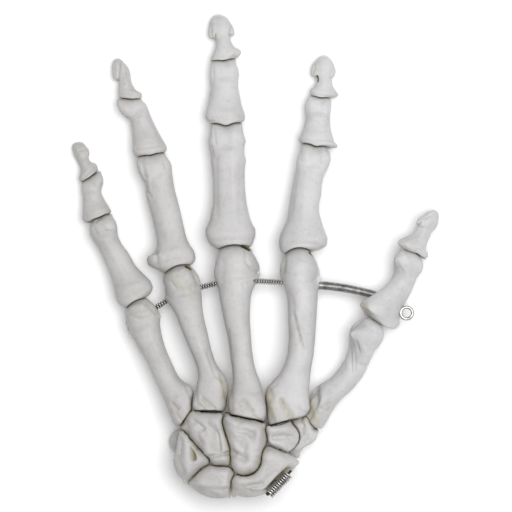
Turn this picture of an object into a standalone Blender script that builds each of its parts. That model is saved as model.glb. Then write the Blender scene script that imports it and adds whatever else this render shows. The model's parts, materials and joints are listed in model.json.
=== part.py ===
"""Wired anatomical model of a left hand, lying palm down, fingers along +Y, thumb at +X.

Twenty-seven moulded bones hang together on steel: a link wire in every finger joint, one wire
across the knuckles with a coil spring in each space, a close spring to the thumb, an eye to hang
the hand by, and a spring in the edge of the scaphoid. Units are metres.
"""

import math

import bmesh
import bpy
from mathutils import Matrix, Vector
from mathutils.bvhtree import BVHTree

# Clearances and the steel
SEAT_GAP = 0.0003          # free play between pieces that touch on the real model
JOINT_SPACE = 0.00035      # between a rounded head and the hollow base that turns on it
CARPAL_SPACE = 0.0007      # seam between neighbouring wrist bones
CUT_OVERRUN = 0.002        # how far a drill runs past the surface it cuts
LINK_RADIUS = 0.00045      # the short wire inside each joint
BORE_CLEARANCE = 0.0003    # around any wire in its hole
KNUCKLE_WIRE_RADIUS = 0.0005
EYE_WIRE_RADIUS = 0.0006

# Wrist block: the seams below are shares of its width and length
CARPUS_WIDTH = 0.0554
CARPUS_LENGTH = 0.0339
CARPUS_BACK_HEIGHT = 0.0265      # highest point of the arched back of the wrist
CARPUS_TUNNEL_HEIGHT = 0.0095    # roof of the hollow on the palm side
CARPUS_ARCH_DROP = 0.0075        # how far both fall towards the edges
TRAPEZIUM_TOP = 0.0132
TRAPEZIUM_BOTTOM = 0.0001
PISIFORM_WIDTH = 0.0096
PISIFORM_LENGTH = 0.0122
PISIFORM_HEIGHT = 0.0078
PISIFORM_BASE = 0.0001           # lowest point above the table
HOOK_WIDTH = 0.0042
HOOK_LENGTH = 0.0076
HOOK_ROOT_HEIGHT = 0.0115
HOOK_TIP_HEIGHT = 0.0016
HOOK_LEAN = 0.0018

# Heights of the joint centres above the table
MCP_HEIGHTS = {"index": 0.0098, "middle": 0.0105, "ring": 0.0096, "little": 0.0084}
PIP_HEIGHTS = {"index": 0.0068, "middle": 0.0072, "ring": 0.0068, "little": 0.0060}
DIP_HEIGHTS = {"index": 0.0044, "middle": 0.0048, "ring": 0.0044, "little": 0.0040}
TIP_HEIGHTS = {"index": 0.0016, "middle": 0.0016, "ring": 0.0016, "little": 0.0014}
THUMB_HEIGHTS = {"cmc": 0.0066, "mcp": 0.0092, "ip": 0.0074, "tip": 0.0050}
THUMB_ROLL = 44.0                # degrees that the thumb's back leans outwards

# Ends of each hinge's swing, in degrees from the pose on the table
FINGER_SWINGS = {"mcp": (-20.0, 80.0), "pip": (0.0, 90.0), "dip": (0.0, 60.0)}
THUMB_SWINGS = {"cmc": (-3.0, 25.0), "mcp": (-5.0, 25.0), "ip": (-10.0, 65.0)}

# Bones of each finger. Lengths run from joint centre to joint centre; headings are degrees
# clockwise from +Y, seen from above.
METACARPALS = {
    "index": {"length": 0.0586, "heading": 4.9, "waist_width": 0.0112, "waist_depth": 0.0094,
              "head_width": 0.0156, "head_radius": 0.0070, "bow": 0.0026},
    "middle": {"length": 0.0595, "heading": -4.2, "waist_width": 0.0098, "waist_depth": 0.0096,
               "head_width": 0.0158, "head_radius": 0.0075, "bow": -0.0004},
    "ring": {"length": 0.0517, "heading": -12.2, "waist_width": 0.0088, "waist_depth": 0.0086,
             "head_width": 0.0146, "head_radius": 0.0066, "bow": 0.0013},
    "little": {"length": 0.0432, "heading": -22.6, "waist_width": 0.0104, "waist_depth": 0.0080,
               "head_width": 0.0130, "head_radius": 0.0059, "bow": -0.0004},
}
THUMB_METACARPAL = {
    "length": 0.0447, "heading": 32.7, "base_width": 0.0146, "base_depth": 0.0118,
    "waist_width": 0.0118, "waist_depth": 0.0090, "head_width": 0.0146,
    "head_radius": 0.0064, "bow": 0.0012}
SADDLE_RADIUS = 0.0080           # ball of the trapezium that the thumb turns on

PROXIMALS = {
    "thumb": {"length": 0.0322, "heading": 30.0, "base_width": 0.0188, "base_depth": 0.0118,
              "waist_width": 0.0110, "waist_depth": 0.0076, "head_width": 0.0132,
              "head_radius": 0.0046, "bow": 0.0016},
    "index": {"length": 0.0430, "heading": 8.0, "base_width": 0.0184, "base_depth": 0.0128,
              "waist_width": 0.0119, "waist_depth": 0.0078, "head_width": 0.0130,
              "head_radius": 0.0047, "bow": -0.0011},
    "middle": {"length": 0.0496, "heading": -3.6, "base_width": 0.0192, "base_depth": 0.0134,
               "waist_width": 0.0129, "waist_depth": 0.0082, "head_width": 0.0137,
               "head_radius": 0.0048, "bow": -0.0005},
    "ring": {"length": 0.0461, "heading": -13.3, "base_width": 0.0170, "base_depth": 0.0120,
             "waist_width": 0.0120, "waist_depth": 0.0076, "head_width": 0.0132,
             "head_radius": 0.0047, "bow": 0.0},
    "little": {"length": 0.0375, "heading": -25.0, "base_width": 0.0156, "base_depth": 0.0104,
               "waist_width": 0.0098, "waist_depth": 0.0066, "head_width": 0.0112,
               "head_radius": 0.0043, "bow": -0.0003},
}
MIDDLES = {
    "index": {"length": 0.0205, "heading": 5.2, "base_width": 0.0146, "base_depth": 0.0098,
              "waist_width": 0.0101, "waist_depth": 0.0060, "head_width": 0.0107,
              "head_radius": 0.0029, "bow": -0.0002},
    "middle": {"length": 0.0265, "heading": -1.7, "base_width": 0.0158, "base_depth": 0.0100,
               "waist_width": 0.0112, "waist_depth": 0.0064, "head_width": 0.0116,
               "head_radius": 0.0032, "bow": -0.0002},
    "ring": {"length": 0.0250, "heading": -19.7, "base_width": 0.0138, "base_depth": 0.0098,
             "waist_width": 0.0091, "waist_depth": 0.0060, "head_width": 0.0109,
             "head_radius": 0.0030, "bow": 0.0004},
    "little": {"length": 0.0173, "heading": -14.5, "base_width": 0.0124, "base_depth": 0.0088,
               "waist_width": 0.0082, "waist_depth": 0.0052, "head_width": 0.0096,
               "head_radius": 0.0026, "bow": 0.0},
}
DISTALS = {
    "thumb": {"length": 0.0232, "heading": 27.0, "base_width": 0.0140, "base_depth": 0.0088,
              "waist_width": 0.0074, "waist_depth": 0.0058, "tuft_width": 0.0092,
              "tuft_depth": 0.0050},
    "index": {"length": 0.0196, "heading": 6.3, "base_width": 0.0114, "base_depth": 0.0066,
              "waist_width": 0.0074, "waist_depth": 0.0046, "tuft_width": 0.0099,
              "tuft_depth": 0.0044},
    "middle": {"length": 0.0215, "heading": -5.2, "base_width": 0.0124, "base_depth": 0.0070,
               "waist_width": 0.0074, "waist_depth": 0.0048, "tuft_width": 0.0106,
               "tuft_depth": 0.0046},
    "ring": {"length": 0.0198, "heading": -19.5, "base_width": 0.0106, "base_depth": 0.0066,
             "waist_width": 0.0062, "waist_depth": 0.0046, "tuft_width": 0.0075,
             "tuft_depth": 0.0044},
    "little": {"length": 0.0173, "heading": -17.0, "base_width": 0.0096, "base_depth": 0.0060,
               "waist_width": 0.0058, "waist_depth": 0.0042, "tuft_width": 0.0070,
               "tuft_depth": 0.0038},
}

# Springs: coil radius is to the wire's centre line
SPACER_COIL_RADIUS = 0.0009
SPACER_WIRE_RADIUS = 0.00016
SPACER_PITCH = 0.00080
TETHER_COIL_RADIUS = 0.00145
TETHER_WIRE_RADIUS = 0.00030
TETHER_PITCH = 0.00108
TETHER_BOW = 0.0009
WRIST_COIL_RADIUS = 0.0020
WRIST_WIRE_RADIUS = 0.00030
WRIST_PITCH = 0.00105
WRIST_SPRING_LENGTH = 0.0104
WRIST_SPRING_HEIGHT = 0.0208
WRIST_CORE_RADIUS = 0.0005
EYE_RADIUS = 0.0024
EYE_STANDOFF = 0.0015
EYE_TURNS = 1.15
EYE_PLACE = 0.0153
EYE_LIFT = 0.00045
BENT_END = 0.0028
ROW_WIRE_RADIUS = 0.0005
PIN_RADIUS = 0.0005
PIN_LENGTH = 0.0070
PIN_RISE = 0.0018
WIRE_SETBACKS = {"index": 0.0068, "middle": 0.0068, "ring": 0.0051, "little": 0.0}

TETHER_HEADING = 92.0            # degrees clockwise from +Y
WRIST_SPRING_HEADING = 41.0

# Points round a bone, along each curl of a spring, round the eye, and along the bowed tether
RING_POINTS = 12
CURL_POINTS = 8
EYE_POINTS = 16
BOW_POINTS = 8
WIRE_BEVEL_STEPS = 1
GROOVE_BEVEL_STEPS = 4
SHARP_ANGLE = 40.0
WELD_share = 0.01                # of a wire's radius, within which its caps are joined

# Wrist seams, as shares of the wrist block's width and length from its lower left corner
SEAM_shares = {
    "hamate_outer": (0.077, 0.908), "knuckle_45": (0.144, 0.989), "hamate_brow": (0.232, 0.971),
    "knuckle_34": (0.363, 0.971), "hamate_capitate_a": (0.366, 0.805),
    "hamate_capitate_b": (0.393, 0.575), "hamate_capitate_lunate": (0.402, 0.374),
    "hamate_floor": (0.317, 0.356), "hamate_corner": (0.242, 0.402),
    "hamate_triquetrum_a": (0.169, 0.586), "hamate_triquetrum_b": (0.101, 0.707),
    "hamate_triquetrum_c": (0.072, 0.799),
    "capitate_brow": (0.507, 0.902), "knuckle_23": (0.641, 0.874),
    "capitate_trapezoid": (0.648, 0.678), "capitate_corner": (0.637, 0.563),
    "capitate_scaphoid_a": (0.613, 0.437), "capitate_scaphoid_b": (0.567, 0.287),
    "capitate_scaphoid_c": (0.500, 0.244), "capitate_lunate_scaphoid": (0.419, 0.270),
    "trapezoid_brow": (0.761, 0.833), "trapezoid_outer": (0.817, 0.879),
    "trapezoid_trapezium": (0.873, 0.724), "trapezoid_corner": (0.803, 0.523),
    "trapezoid_scaphoid": (0.697, 0.598),
    "trapezium_brow": (0.944, 0.935), "trapezium_ball": (1.014, 0.828),
    "trapezium_outer": (1.011, 0.678), "trapezium_heel": (0.915, 0.506),
    "trapezium_scaphoid": (0.852, 0.460),
    "scaphoid_a": (0.859, 0.391), "scaphoid_b": (0.838, 0.322), "scaphoid_c": (0.792, 0.259),
    "scaphoid_d": (0.701, 0.086), "scaphoid_e": (0.641, 0.025), "scaphoid_f": (0.528, 0.011),
    "scaphoid_g": (0.437, 0.046),
    "lunate_scaphoid_a": (0.394, 0.103), "lunate_scaphoid_b": (0.408, 0.184),
    "lunate_a": (0.352, 0.0), "lunate_b": (0.268, 0.0), "lunate_c": (0.183, 0.052),
    "lunate_d": (0.130, 0.138), "lunate_triquetrum": (0.118, 0.222),
    "triquetrum_a": (0.042, 0.282), "triquetrum_b": (0.004, 0.408), "triquetrum_c": (0.0, 0.588),
    "triquetrum_d": (0.016, 0.714), "triquetrum_e": (0.059, 0.776),
}
CARPAL_OUTLINES = {
    "hamate": ("hamate_outer", "knuckle_45", "hamate_brow", "knuckle_34", "hamate_capitate_a",
               "hamate_capitate_b", "hamate_capitate_lunate", "hamate_floor", "hamate_corner",
               "hamate_triquetrum_a", "hamate_triquetrum_b", "hamate_triquetrum_c"),
    "capitate": ("knuckle_34", "capitate_brow", "knuckle_23", "capitate_trapezoid",
                 "capitate_corner", "capitate_scaphoid_a", "capitate_scaphoid_b",
                 "capitate_scaphoid_c", "capitate_lunate_scaphoid", "hamate_capitate_lunate",
                 "hamate_capitate_b", "hamate_capitate_a"),
    "trapezoid": ("knuckle_23", "trapezoid_brow", "trapezoid_outer", "trapezoid_trapezium",
                  "trapezoid_corner", "trapezoid_scaphoid", "capitate_corner",
                  "capitate_trapezoid"),
    "trapezium": ("trapezoid_outer", "trapezium_brow", "trapezium_ball", "trapezium_outer",
                  "trapezium_heel", "trapezium_scaphoid", "trapezoid_corner",
                  "trapezoid_trapezium"),
    "scaphoid": ("capitate_corner", "trapezoid_scaphoid", "trapezoid_corner",
                 "trapezium_scaphoid", "scaphoid_a", "scaphoid_b", "scaphoid_c", "scaphoid_d",
                 "scaphoid_e", "scaphoid_f", "scaphoid_g", "lunate_scaphoid_a",
                 "lunate_scaphoid_b", "capitate_lunate_scaphoid", "capitate_scaphoid_c",
                 "capitate_scaphoid_b", "capitate_scaphoid_a"),
    "lunate": ("hamate_capitate_lunate", "capitate_lunate_scaphoid", "lunate_scaphoid_b",
               "lunate_scaphoid_a", "lunate_a", "lunate_b", "lunate_c", "lunate_d",
               "lunate_triquetrum", "hamate_corner", "hamate_floor"),
    "triquetrum": ("hamate_triquetrum_c", "hamate_triquetrum_b", "hamate_triquetrum_a",
                   "hamate_corner", "lunate_triquetrum", "triquetrum_a", "triquetrum_b",
                   "triquetrum_c", "triquetrum_d", "triquetrum_e"),
}
# Levels of a wrist bone from palm to back: share of its height, share of its outline
CARPAL_LEVEL_shares = ((0.0, 0.66), (0.10, 0.86), (0.30, 0.97), (0.66, 1.0), (0.88, 0.93),
                       (0.985, 0.74))

# Each metacarpal base: outer and inner ends of its seam with the wrist, then of its flanks
METACARPAL_SEAM_shares = {
    "little": ((0.014, 0.828), (0.144, 0.989), (-0.074, 1.080), (0.151, 1.230)),
    "ring": ((0.144, 0.989), (0.363, 0.971), (0.151, 1.230), (0.384, 1.207)),
    "middle": ((0.363, 0.971), (0.641, 0.874), (0.384, 1.207), (0.641, 1.218)),
    "index": ((0.641, 0.874), (0.944, 0.960), (0.641, 1.218), (0.950, 1.230)),
}
# Rings of that base: share of the way from seam to flank, then shares of width and depth
METACARPAL_SEAT_shares = ((0.0, 0.52, 0.45), (0.0, 0.93, 0.88), (0.30, 0.99, 1.0),
                          (1.0, 0.97, 0.95))
METACARPAL_BASE_DEPTH = {"index": 0.0122, "middle": 0.0146, "ring": 0.0124, "little": 0.0106}

# Long bones from base to head. Rows: share of the way, share of the flare to the base (or to
# the head), for the width and for the depth.
PHALANX_BASE_shares = ((0.05, 0.95, 1.0), (0.14, 1.0, 0.92), (0.26, 0.62, 0.56),
                       (0.40, 0.22, 0.22))
PHALANX_WAIST_share = 0.57
PHALANX_HEAD_shares = ((0.74, 0.16, 0.0),)
METACARPAL_BASE_shares = ((0.24, 0.40, 0.42), (0.34, 0.10, 0.16))
METACARPAL_WAIST_share = 0.48
METACARPAL_HEAD_shares = ((0.66, 0.24, 0.0),)
DISTAL_STATION_shares = ((0.05, 0.96, 1.0), (0.15, 1.0, 0.86), (0.30, 0.62, 0.40),
                         (0.43, 0.10, 0.0))
# Rings of the tuft: shares of the way, of its width and of its depth
TUFT_shares = ((0.50, 0.70, 0.70), (0.57, 1.0, 0.92), (0.72, 1.0, 1.0), (0.86, 0.84, 0.88),
               (0.96, 0.52, 0.56), (1.0, 0.20, 0.20))
NECK_share = 1.42                # how many head radii the neck lies behind the joint
PHALANX_NECK_share = 0.66
METACARPAL_NECK_share = 0.92
NECK_BACK_share = 0.80
NECK_PALM_share = 0.52
HEAD_ANGLES = (-50.0, 0.0, 34.0, 62.0)
HEAD_NARROWING_share = 0.42
METACARPAL_NARROWING_share = 0.30
HEAD_GROOVE_share = 0.10
GROOVE_SHARPNESS = 6             # the higher, the narrower the groove between the condyles
BACK_share = 0.52                # of a base's depth that lies above the joint line
WAIST_BACK_share = 0.58          # of a shaft's depth
RIM_WIDTH_share = 0.84
RIM_DEPTH_share = 0.80           # of the head's radius that the lips of the base reach
DISH_share = 0.55
BORE_DEPTH_share = 0.50          # of the head's radius
BASE_BORE_DEPTH_share = 0.62
SQUARE_share = 0.86              # below 1, a section is squarer than an oval
SADDLE_BORE_share = 0.35
SADDLE_shares = (0.935, 0.730)
PISIFORM_shares = (0.049, 0.644)
HOOK_shares = (0.20, 0.72)
HOOK_LEVEL_shares = ((0.0, 1.25), (0.4, 1.0), (0.8, 0.84), (1.0, 0.5))
ROW_WIRE_shares = {
    "proximal_row_wire": (((0.10, 0.46, 0.60), (0.27, 0.17, 0.60), (0.60, 0.12, 0.60)),
                          ("triquetrum", "lunate", "scaphoid")),
    "distal_row_wire": (((0.235, 0.65, 0.60), (0.50, 0.60, 0.60), (0.76, 0.68, 0.52),
                         (0.925, 0.60, 0.27)), ("hamate", "capitate", "trapezoid", "trapezium")),
}
BASE_PINS = {"index": "trapezoid", "middle": "capitate", "ring": "hamate", "little": "hamate"}
# Each pin: its middle, heading and tilt in degrees, and the two bones it joins
WRIST_PIN_shares = {
    "capitate_lunate_pin": ((0.411, 0.322, 0.70), 75.0, 0.0, "capitate", "lunate"),
    "trapezoid_scaphoid_pin": ((0.75, 0.56, 0.66), 23.0, 0.0, "trapezoid", "scaphoid"),
    "pisiform_pin": ((0.058, 0.644, 0.30), 0.0, 90.0, "pisiform", "triquetrum"),
}
WRIST_SPRING_shares = (0.727, 0.161)
WRIST_LOW_END_shares = ((0.599, 0.052), (0.641, 0.012))
WRIST_HIGH_END_shares = ((0.842, 0.345), (0.856, 0.385), (0.842, 0.415), (0.79, 0.42))


def clear_scene():
    for obj in list(bpy.data.objects):
        bpy.data.objects.remove(obj, do_unlink=True)


def make_collection(name):
    collection = bpy.data.collections.new(name)
    bpy.context.scene.collection.children.link(collection)
    return collection


def make_material(name, colour, roughness, metallic):
    material = bpy.data.materials.new(name)
    material.use_nodes = True
    shader = material.node_tree.nodes["Principled BSDF"]
    shader.inputs["Base Color"].default_value = (*colour, 1.0)
    shader.inputs["Roughness"].default_value = roughness
    shader.inputs["Metallic"].default_value = metallic
    return material


clear_scene()
HAND = make_collection("human_hand_model")
CUTTERS = make_collection("cutters")
BONE = make_material("moulded_bone", (0.64, 0.62, 0.58), 0.55, 0.0)
STEEL = make_material("spring_steel", (0.62, 0.62, 0.63), 0.28, 1.0)
STAND = bpy.data.objects.new("hand_placement", None)
HAND.objects.link(STAND)
JOINTS = []


def place_object(obj, frame, parent, material=None):
    """Link obj below its parent with its axes on frame, a matrix in the hand's own space."""
    HAND.objects.link(obj)
    obj.parent = parent
    bpy.context.view_layer.update()
    obj.matrix_world = STAND.matrix_world @ frame
    if material is not None:
        obj.data.materials.append(material)
    return obj


def add_joint(name, frame, parent, axis, swing):
    """An empty on the joint's centre; axis is a direction in the hand's space."""
    empty = bpy.data.objects.new(name, None)
    place_object(empty, frame, parent)
    JOINTS.append((name, empty, axis.normalized(), swing))
    return empty


def shade(mesh):
    mesh.shade_smooth()
    mesh.set_sharp_from_angle(angle=math.radians(SHARP_ANGLE))


def loft(name, rings, frame, parent, fan_ends=False):
    """A closed skin over rings of equal count, given in the bone's own frame."""
    skin = bmesh.new()
    loops = [[skin.verts.new(point) for point in ring] for ring in rings]
    count = len(loops[0])
    for lower, upper in zip(loops, loops[1:]):
        for i in range(count):
            j = (i + 1) % count
            skin.faces.new((lower[i], lower[j], upper[j], upper[i]))
    for loop, crown in ((loops[0], rings[0]), (loops[-1], rings[-1])):
        if fan_ends:
            centre = skin.verts.new(sum(crown, Vector()) / count)
            for i in range(count):
                skin.faces.new((loop[i], loop[(i + 1) % count], centre))
        else:
            skin.faces.new(loop)
    bmesh.ops.recalc_face_normals(skin, faces=skin.faces)
    mesh = bpy.data.meshes.new(name)
    skin.to_mesh(mesh)
    skin.free()
    shade(mesh)
    return place_object(bpy.data.objects.new(name, mesh), frame, parent, BONE)


def wire_mesh(name, points, radius, frame=None, parent=None, material=None, bevel_steps=WIRE_BEVEL_STEPS):
    """A capped tube through points in the hand's space, turned from a curve into a mesh."""
    curve = bpy.data.curves.new(name, "CURVE")
    curve.dimensions = "3D"
    curve.bevel_depth = radius
    curve.bevel_resolution = bevel_steps
    curve.use_fill_caps = True
    spline = curve.splines.new("POLY")
    spline.points.add(len(points) - 1)
    for knot, point in zip(spline.points, points):
        knot.co = (*point, 1.0)
    guide = bpy.data.objects.new(name + "_guide", curve)
    CUTTERS.objects.link(guide)
    bpy.context.view_layer.update()
    evaluated = guide.evaluated_get(bpy.context.evaluated_depsgraph_get())
    mesh = bpy.data.meshes.new_from_object(evaluated)
    bpy.data.objects.remove(guide, do_unlink=True)
    work = bmesh.new()
    work.from_mesh(mesh)
    bmesh.ops.remove_doubles(work, verts=work.verts, dist=radius * WELD_share)
    bmesh.ops.recalc_face_normals(work, faces=work.faces)
    if frame is not None:
        bmesh.ops.transform(work, matrix=frame.inverted(), verts=work.verts)
    work.to_mesh(mesh)
    work.free()
    mesh.name = name
    shade(mesh)
    obj = bpy.data.objects.new(name, mesh)
    if material is None:
        return as_cutter(obj)
    return place_object(obj, frame or Matrix(), parent, material)


def as_cutter(obj):
    CUTTERS.objects.link(obj)
    obj.parent = STAND
    obj.hide_render = True
    obj.display_type = "WIRE"
    return obj


def cut(target, cutter, operation="DIFFERENCE"):
    modifier = target.modifiers.new(cutter.name, "BOOLEAN")
    modifier.operation = operation
    modifier.solver = "EXACT"
    modifier.object = cutter


def drop_angle(high, low, length):
    return math.asin((high - low) / length)


def bone_frame(centre, heading, drop, roll=0.0):
    """Axes of a bone: Y along it, Z to its back, X across it to the thumb's side."""
    turn = math.radians(heading)
    along = Vector((math.sin(turn) * math.cos(drop), math.cos(turn) * math.cos(drop),
                    -math.sin(drop)))
    across = Vector((math.cos(turn), -math.sin(turn), 0.0))
    back = across.cross(along)
    lean = math.radians(roll)
    across, back = (across * math.cos(lean) - back * math.sin(lean),
                    back * math.cos(lean) + across * math.sin(lean))
    frame = Matrix((across, along, back)).transposed().to_4x4()
    frame.translation = centre
    return frame


def section(left, right, back, palm, up=Vector((0.0, 0.0, 1.0)), groove=0.0):
    """One oval ring between two side points; back and palm are its reach along up."""
    middle = (left + right) / 2
    half = (right - left) / 2
    ring = []
    for i in range(RING_POINTS):
        angle = 2 * math.pi * i / RING_POINTS
        side = math.copysign(abs(math.cos(angle)) ** SQUARE_share, math.cos(angle))
        rise = math.copysign(abs(math.sin(angle)) ** SQUARE_share, math.sin(angle))
        dip = 1.0 - groove * abs(math.sin(angle)) ** GROOVE_SHARPNESS
        reach = (back if rise > 0 else palm) * dip
        ring.append(middle + half * side + up * (rise * reach))
    return ring


def shaft_ring(place, width, back, palm, shift=0.0, groove=0.0):
    left = Vector((shift - width / 2, place, 0.0))
    right = Vector((shift + width / 2, place, 0.0))
    return section(left, right, back, palm, groove=groove)


def bore_ring(radius, place):
    return [Vector((radius * math.cos(a), place, radius * math.sin(a)))
            for a in (2 * math.pi * i / RING_POINTS for i in range(RING_POINTS))]


def moved(ring, matrix):
    return [matrix @ point for point in ring]


BORE_RADIUS = LINK_RADIUS + BORE_CLEARANCE


def dish_rings(radius, width, lip, ball=False):
    """Hollow base that turns on a head of this radius: bore, dish and rim, from inside out."""
    hollow = radius + JOINT_SPACE
    rings = [bore_ring(BORE_RADIUS, hollow + radius * BASE_BORE_DEPTH_share),
             bore_ring(BORE_RADIUS, hollow)]
    for share in (DISH_share, 1.0):
        flat = shaft_ring(0.0, width * RIM_WIDTH_share * share, lip * share, lip * share)
        ring = []
        for point in flat:
            fall = point.z ** 2 + (point.x ** 2 if ball else 0.0)
            ring.append(Vector((point.x, math.sqrt(hollow ** 2 - fall), point.z)))
        rings.append(ring)
    return rings


def head_rings(radius, width, joint_frame, own_frame, narrow):
    """Rounded head about the next joint's axis, ending in the bore for the link wire."""
    to_own = own_frame.inverted() @ joint_frame
    rings = []
    for angle in HEAD_ANGLES:
        turn = math.radians(angle)
        span = width * (1.0 - narrow * (1.0 - math.cos(max(turn, 0.0))))
        ring = shaft_ring(radius * math.sin(turn), span, radius * math.cos(turn),
                          radius * math.cos(turn), groove=HEAD_GROOVE_share)
        rings.append(moved(ring, to_own))
    tip = math.sqrt(radius ** 2 - BORE_RADIUS ** 2)
    rings.append(moved(bore_ring(BORE_RADIUS, tip), to_own))
    rings.append(moved(bore_ring(BORE_RADIUS, radius * (1.0 - BORE_DEPTH_share)), to_own))
    return rings


def mix(low, high, share):
    return low + (high - low) * share


def lip_reach(size, radius):
    """How far the rim of a base reaches to the back and to the palm of the head."""
    return min(size["base_depth"] / 2, radius * RIM_DEPTH_share)


def bow_at(size, share):
    return size["bow"] * math.sin(math.pi * share)


def base_stations(size, rows, start, end):
    rings = []
    for share, wide, deep in rows:
        width = mix(size["waist_width"], size["base_width"], wide)
        back = mix(size["waist_depth"] * WAIST_BACK_share, size["base_depth"] * BACK_share, deep)
        palm = mix(size["waist_depth"] * (1 - WAIST_BACK_share),
                   size["base_depth"] * (1 - BACK_share), deep)
        rings.append(shaft_ring(mix(start, end, share), width, back, palm,
                                bow_at(size, share)))
    return rings


def waist_station(size, share, start, end):
    return shaft_ring(mix(start, end, share), size["waist_width"],
                      size["waist_depth"] * WAIST_BACK_share,
                      size["waist_depth"] * (1 - WAIST_BACK_share), bow_at(size, share))


def head_stations(size, rows, start, end):
    rings = []
    for share, wide, deep in rows:
        width = mix(size["waist_width"], size["head_width"], wide)
        back = mix(size["waist_depth"] * WAIST_BACK_share, size["head_radius"], deep)
        palm = mix(size["waist_depth"] * (1 - WAIST_BACK_share), size["head_radius"], deep)
        rings.append(shaft_ring(mix(start, end, share), width, back, palm,
                                bow_at(size, share)))
    return rings


def neck_station(size, end, width_share):
    """Thinned neck behind a head, which leaves room for the lip of the flexed next bone."""
    radius = size["head_radius"]
    width = mix(size["waist_width"], size["head_width"], width_share)
    return shaft_ring(end - radius * NECK_share, width, radius * NECK_BACK_share,
                      radius * NECK_PALM_share)


def phalanx(name, size, frame, next_frame, turns_on, parent, ball=False):
    """Proximal or middle phalanx, or the thumb's metacarpal: hollow base, waist, head."""
    start = turns_on + JOINT_SPACE
    end = size["length"]
    rings = dish_rings(turns_on, size["base_width"], lip_reach(size, turns_on), ball)
    rings += base_stations(size, PHALANX_BASE_shares, start, end)
    rings.append(waist_station(size, PHALANX_WAIST_share, start, end))
    rings += head_stations(size, PHALANX_HEAD_shares, start, end)
    rings.append(neck_station(size, end, PHALANX_NECK_share))
    rings += head_rings(size["head_radius"], size["head_width"], next_frame, frame,
                        HEAD_NARROWING_share)
    return loft(name, rings, frame, parent)


def distal_phalanx(name, size, frame, turns_on, parent):
    """Fingertip bone: hollow base, thin waist and the spread tuft under the nail."""
    start = turns_on + JOINT_SPACE
    end = size["length"]
    rings = dish_rings(turns_on, size["base_width"], lip_reach(size, turns_on))
    plain = dict(size, bow=0.0)
    rings += base_stations(plain, DISTAL_STATION_shares, start, end)
    for share, wide, deep in TUFT_shares:
        width = size["tuft_width"] * wide
        depth = size["tuft_depth"] * deep
        rings.append(shaft_ring(mix(start, end, share), width, depth * BACK_share,
                                depth * (1 - BACK_share)))
    return loft(name, rings, frame, parent)


def link_wire(name, frame, radius, parent, floor_share=1.0 - BORE_DEPTH_share):
    """Short steel wire that holds a joint together, in the bores of both bones."""
    bore_floor = radius * floor_share
    far_floor = radius + JOINT_SPACE + radius * BASE_BORE_DEPTH_share
    near = bore_floor + SEAT_GAP
    far = far_floor - SEAT_GAP
    points = [frame @ Vector((0.0, near, 0.0)), frame @ Vector((0.0, far, 0.0))]
    return wire_mesh(name, points, LINK_RADIUS, frame, parent, STEEL)


def wrist_point(share, height=0.0):
    return Vector(((share[0] - 0.5) * CARPUS_WIDTH, share[1] * CARPUS_LENGTH, height))


def arch_fall(x):
    """Drop of the arched wrist at a distance from its middle."""
    return CARPUS_ARCH_DROP * (2 * x / CARPUS_WIDTH) ** 2


def inset(outline, distance):
    """Outline in the plan, drawn in by distance along every edge. It runs clockwise."""
    drawn = []
    count = len(outline)
    for i in range(count):
        before = (outline[i] - outline[i - 1]).normalized()
        after = (outline[(i + 1) % count] - outline[i]).normalized()
        inward_a = Vector((before.y, -before.x, 0.0))
        inward_b = Vector((after.y, -after.x, 0.0))
        mitre = (inward_a + inward_b).normalized()
        drawn.append(outline[i] + mitre * (distance / max(mitre.dot(inward_a), DISH_share)))
    return drawn


def carpal(name, levels=CARPAL_LEVEL_shares, top=None, bottom=None):
    """A wrist bone: its mosaic outline, drawn in at the back and at the palm."""
    outline = inset([wrist_point(SEAM_shares[key]) for key in CARPAL_OUTLINES[name]],
                    CARPAL_SPACE / 2)
    middle = sum(outline, Vector()) / len(outline)
    rings = []
    for height, scale in levels:
        ring = []
        for corner in outline:
            spot = middle + (corner - middle) * scale
            high = top if top is not None else CARPUS_BACK_HEIGHT - arch_fall(spot.x)
            low = bottom if bottom is not None else CARPUS_TUNNEL_HEIGHT - arch_fall(spot.x)
            ring.append(Vector((spot.x, spot.y, mix(low, high, height))) - middle)
        rings.append(ring)
    frame = Matrix.Translation(middle)
    return loft(name, rings, frame, STAND, fan_ends=True)


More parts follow.
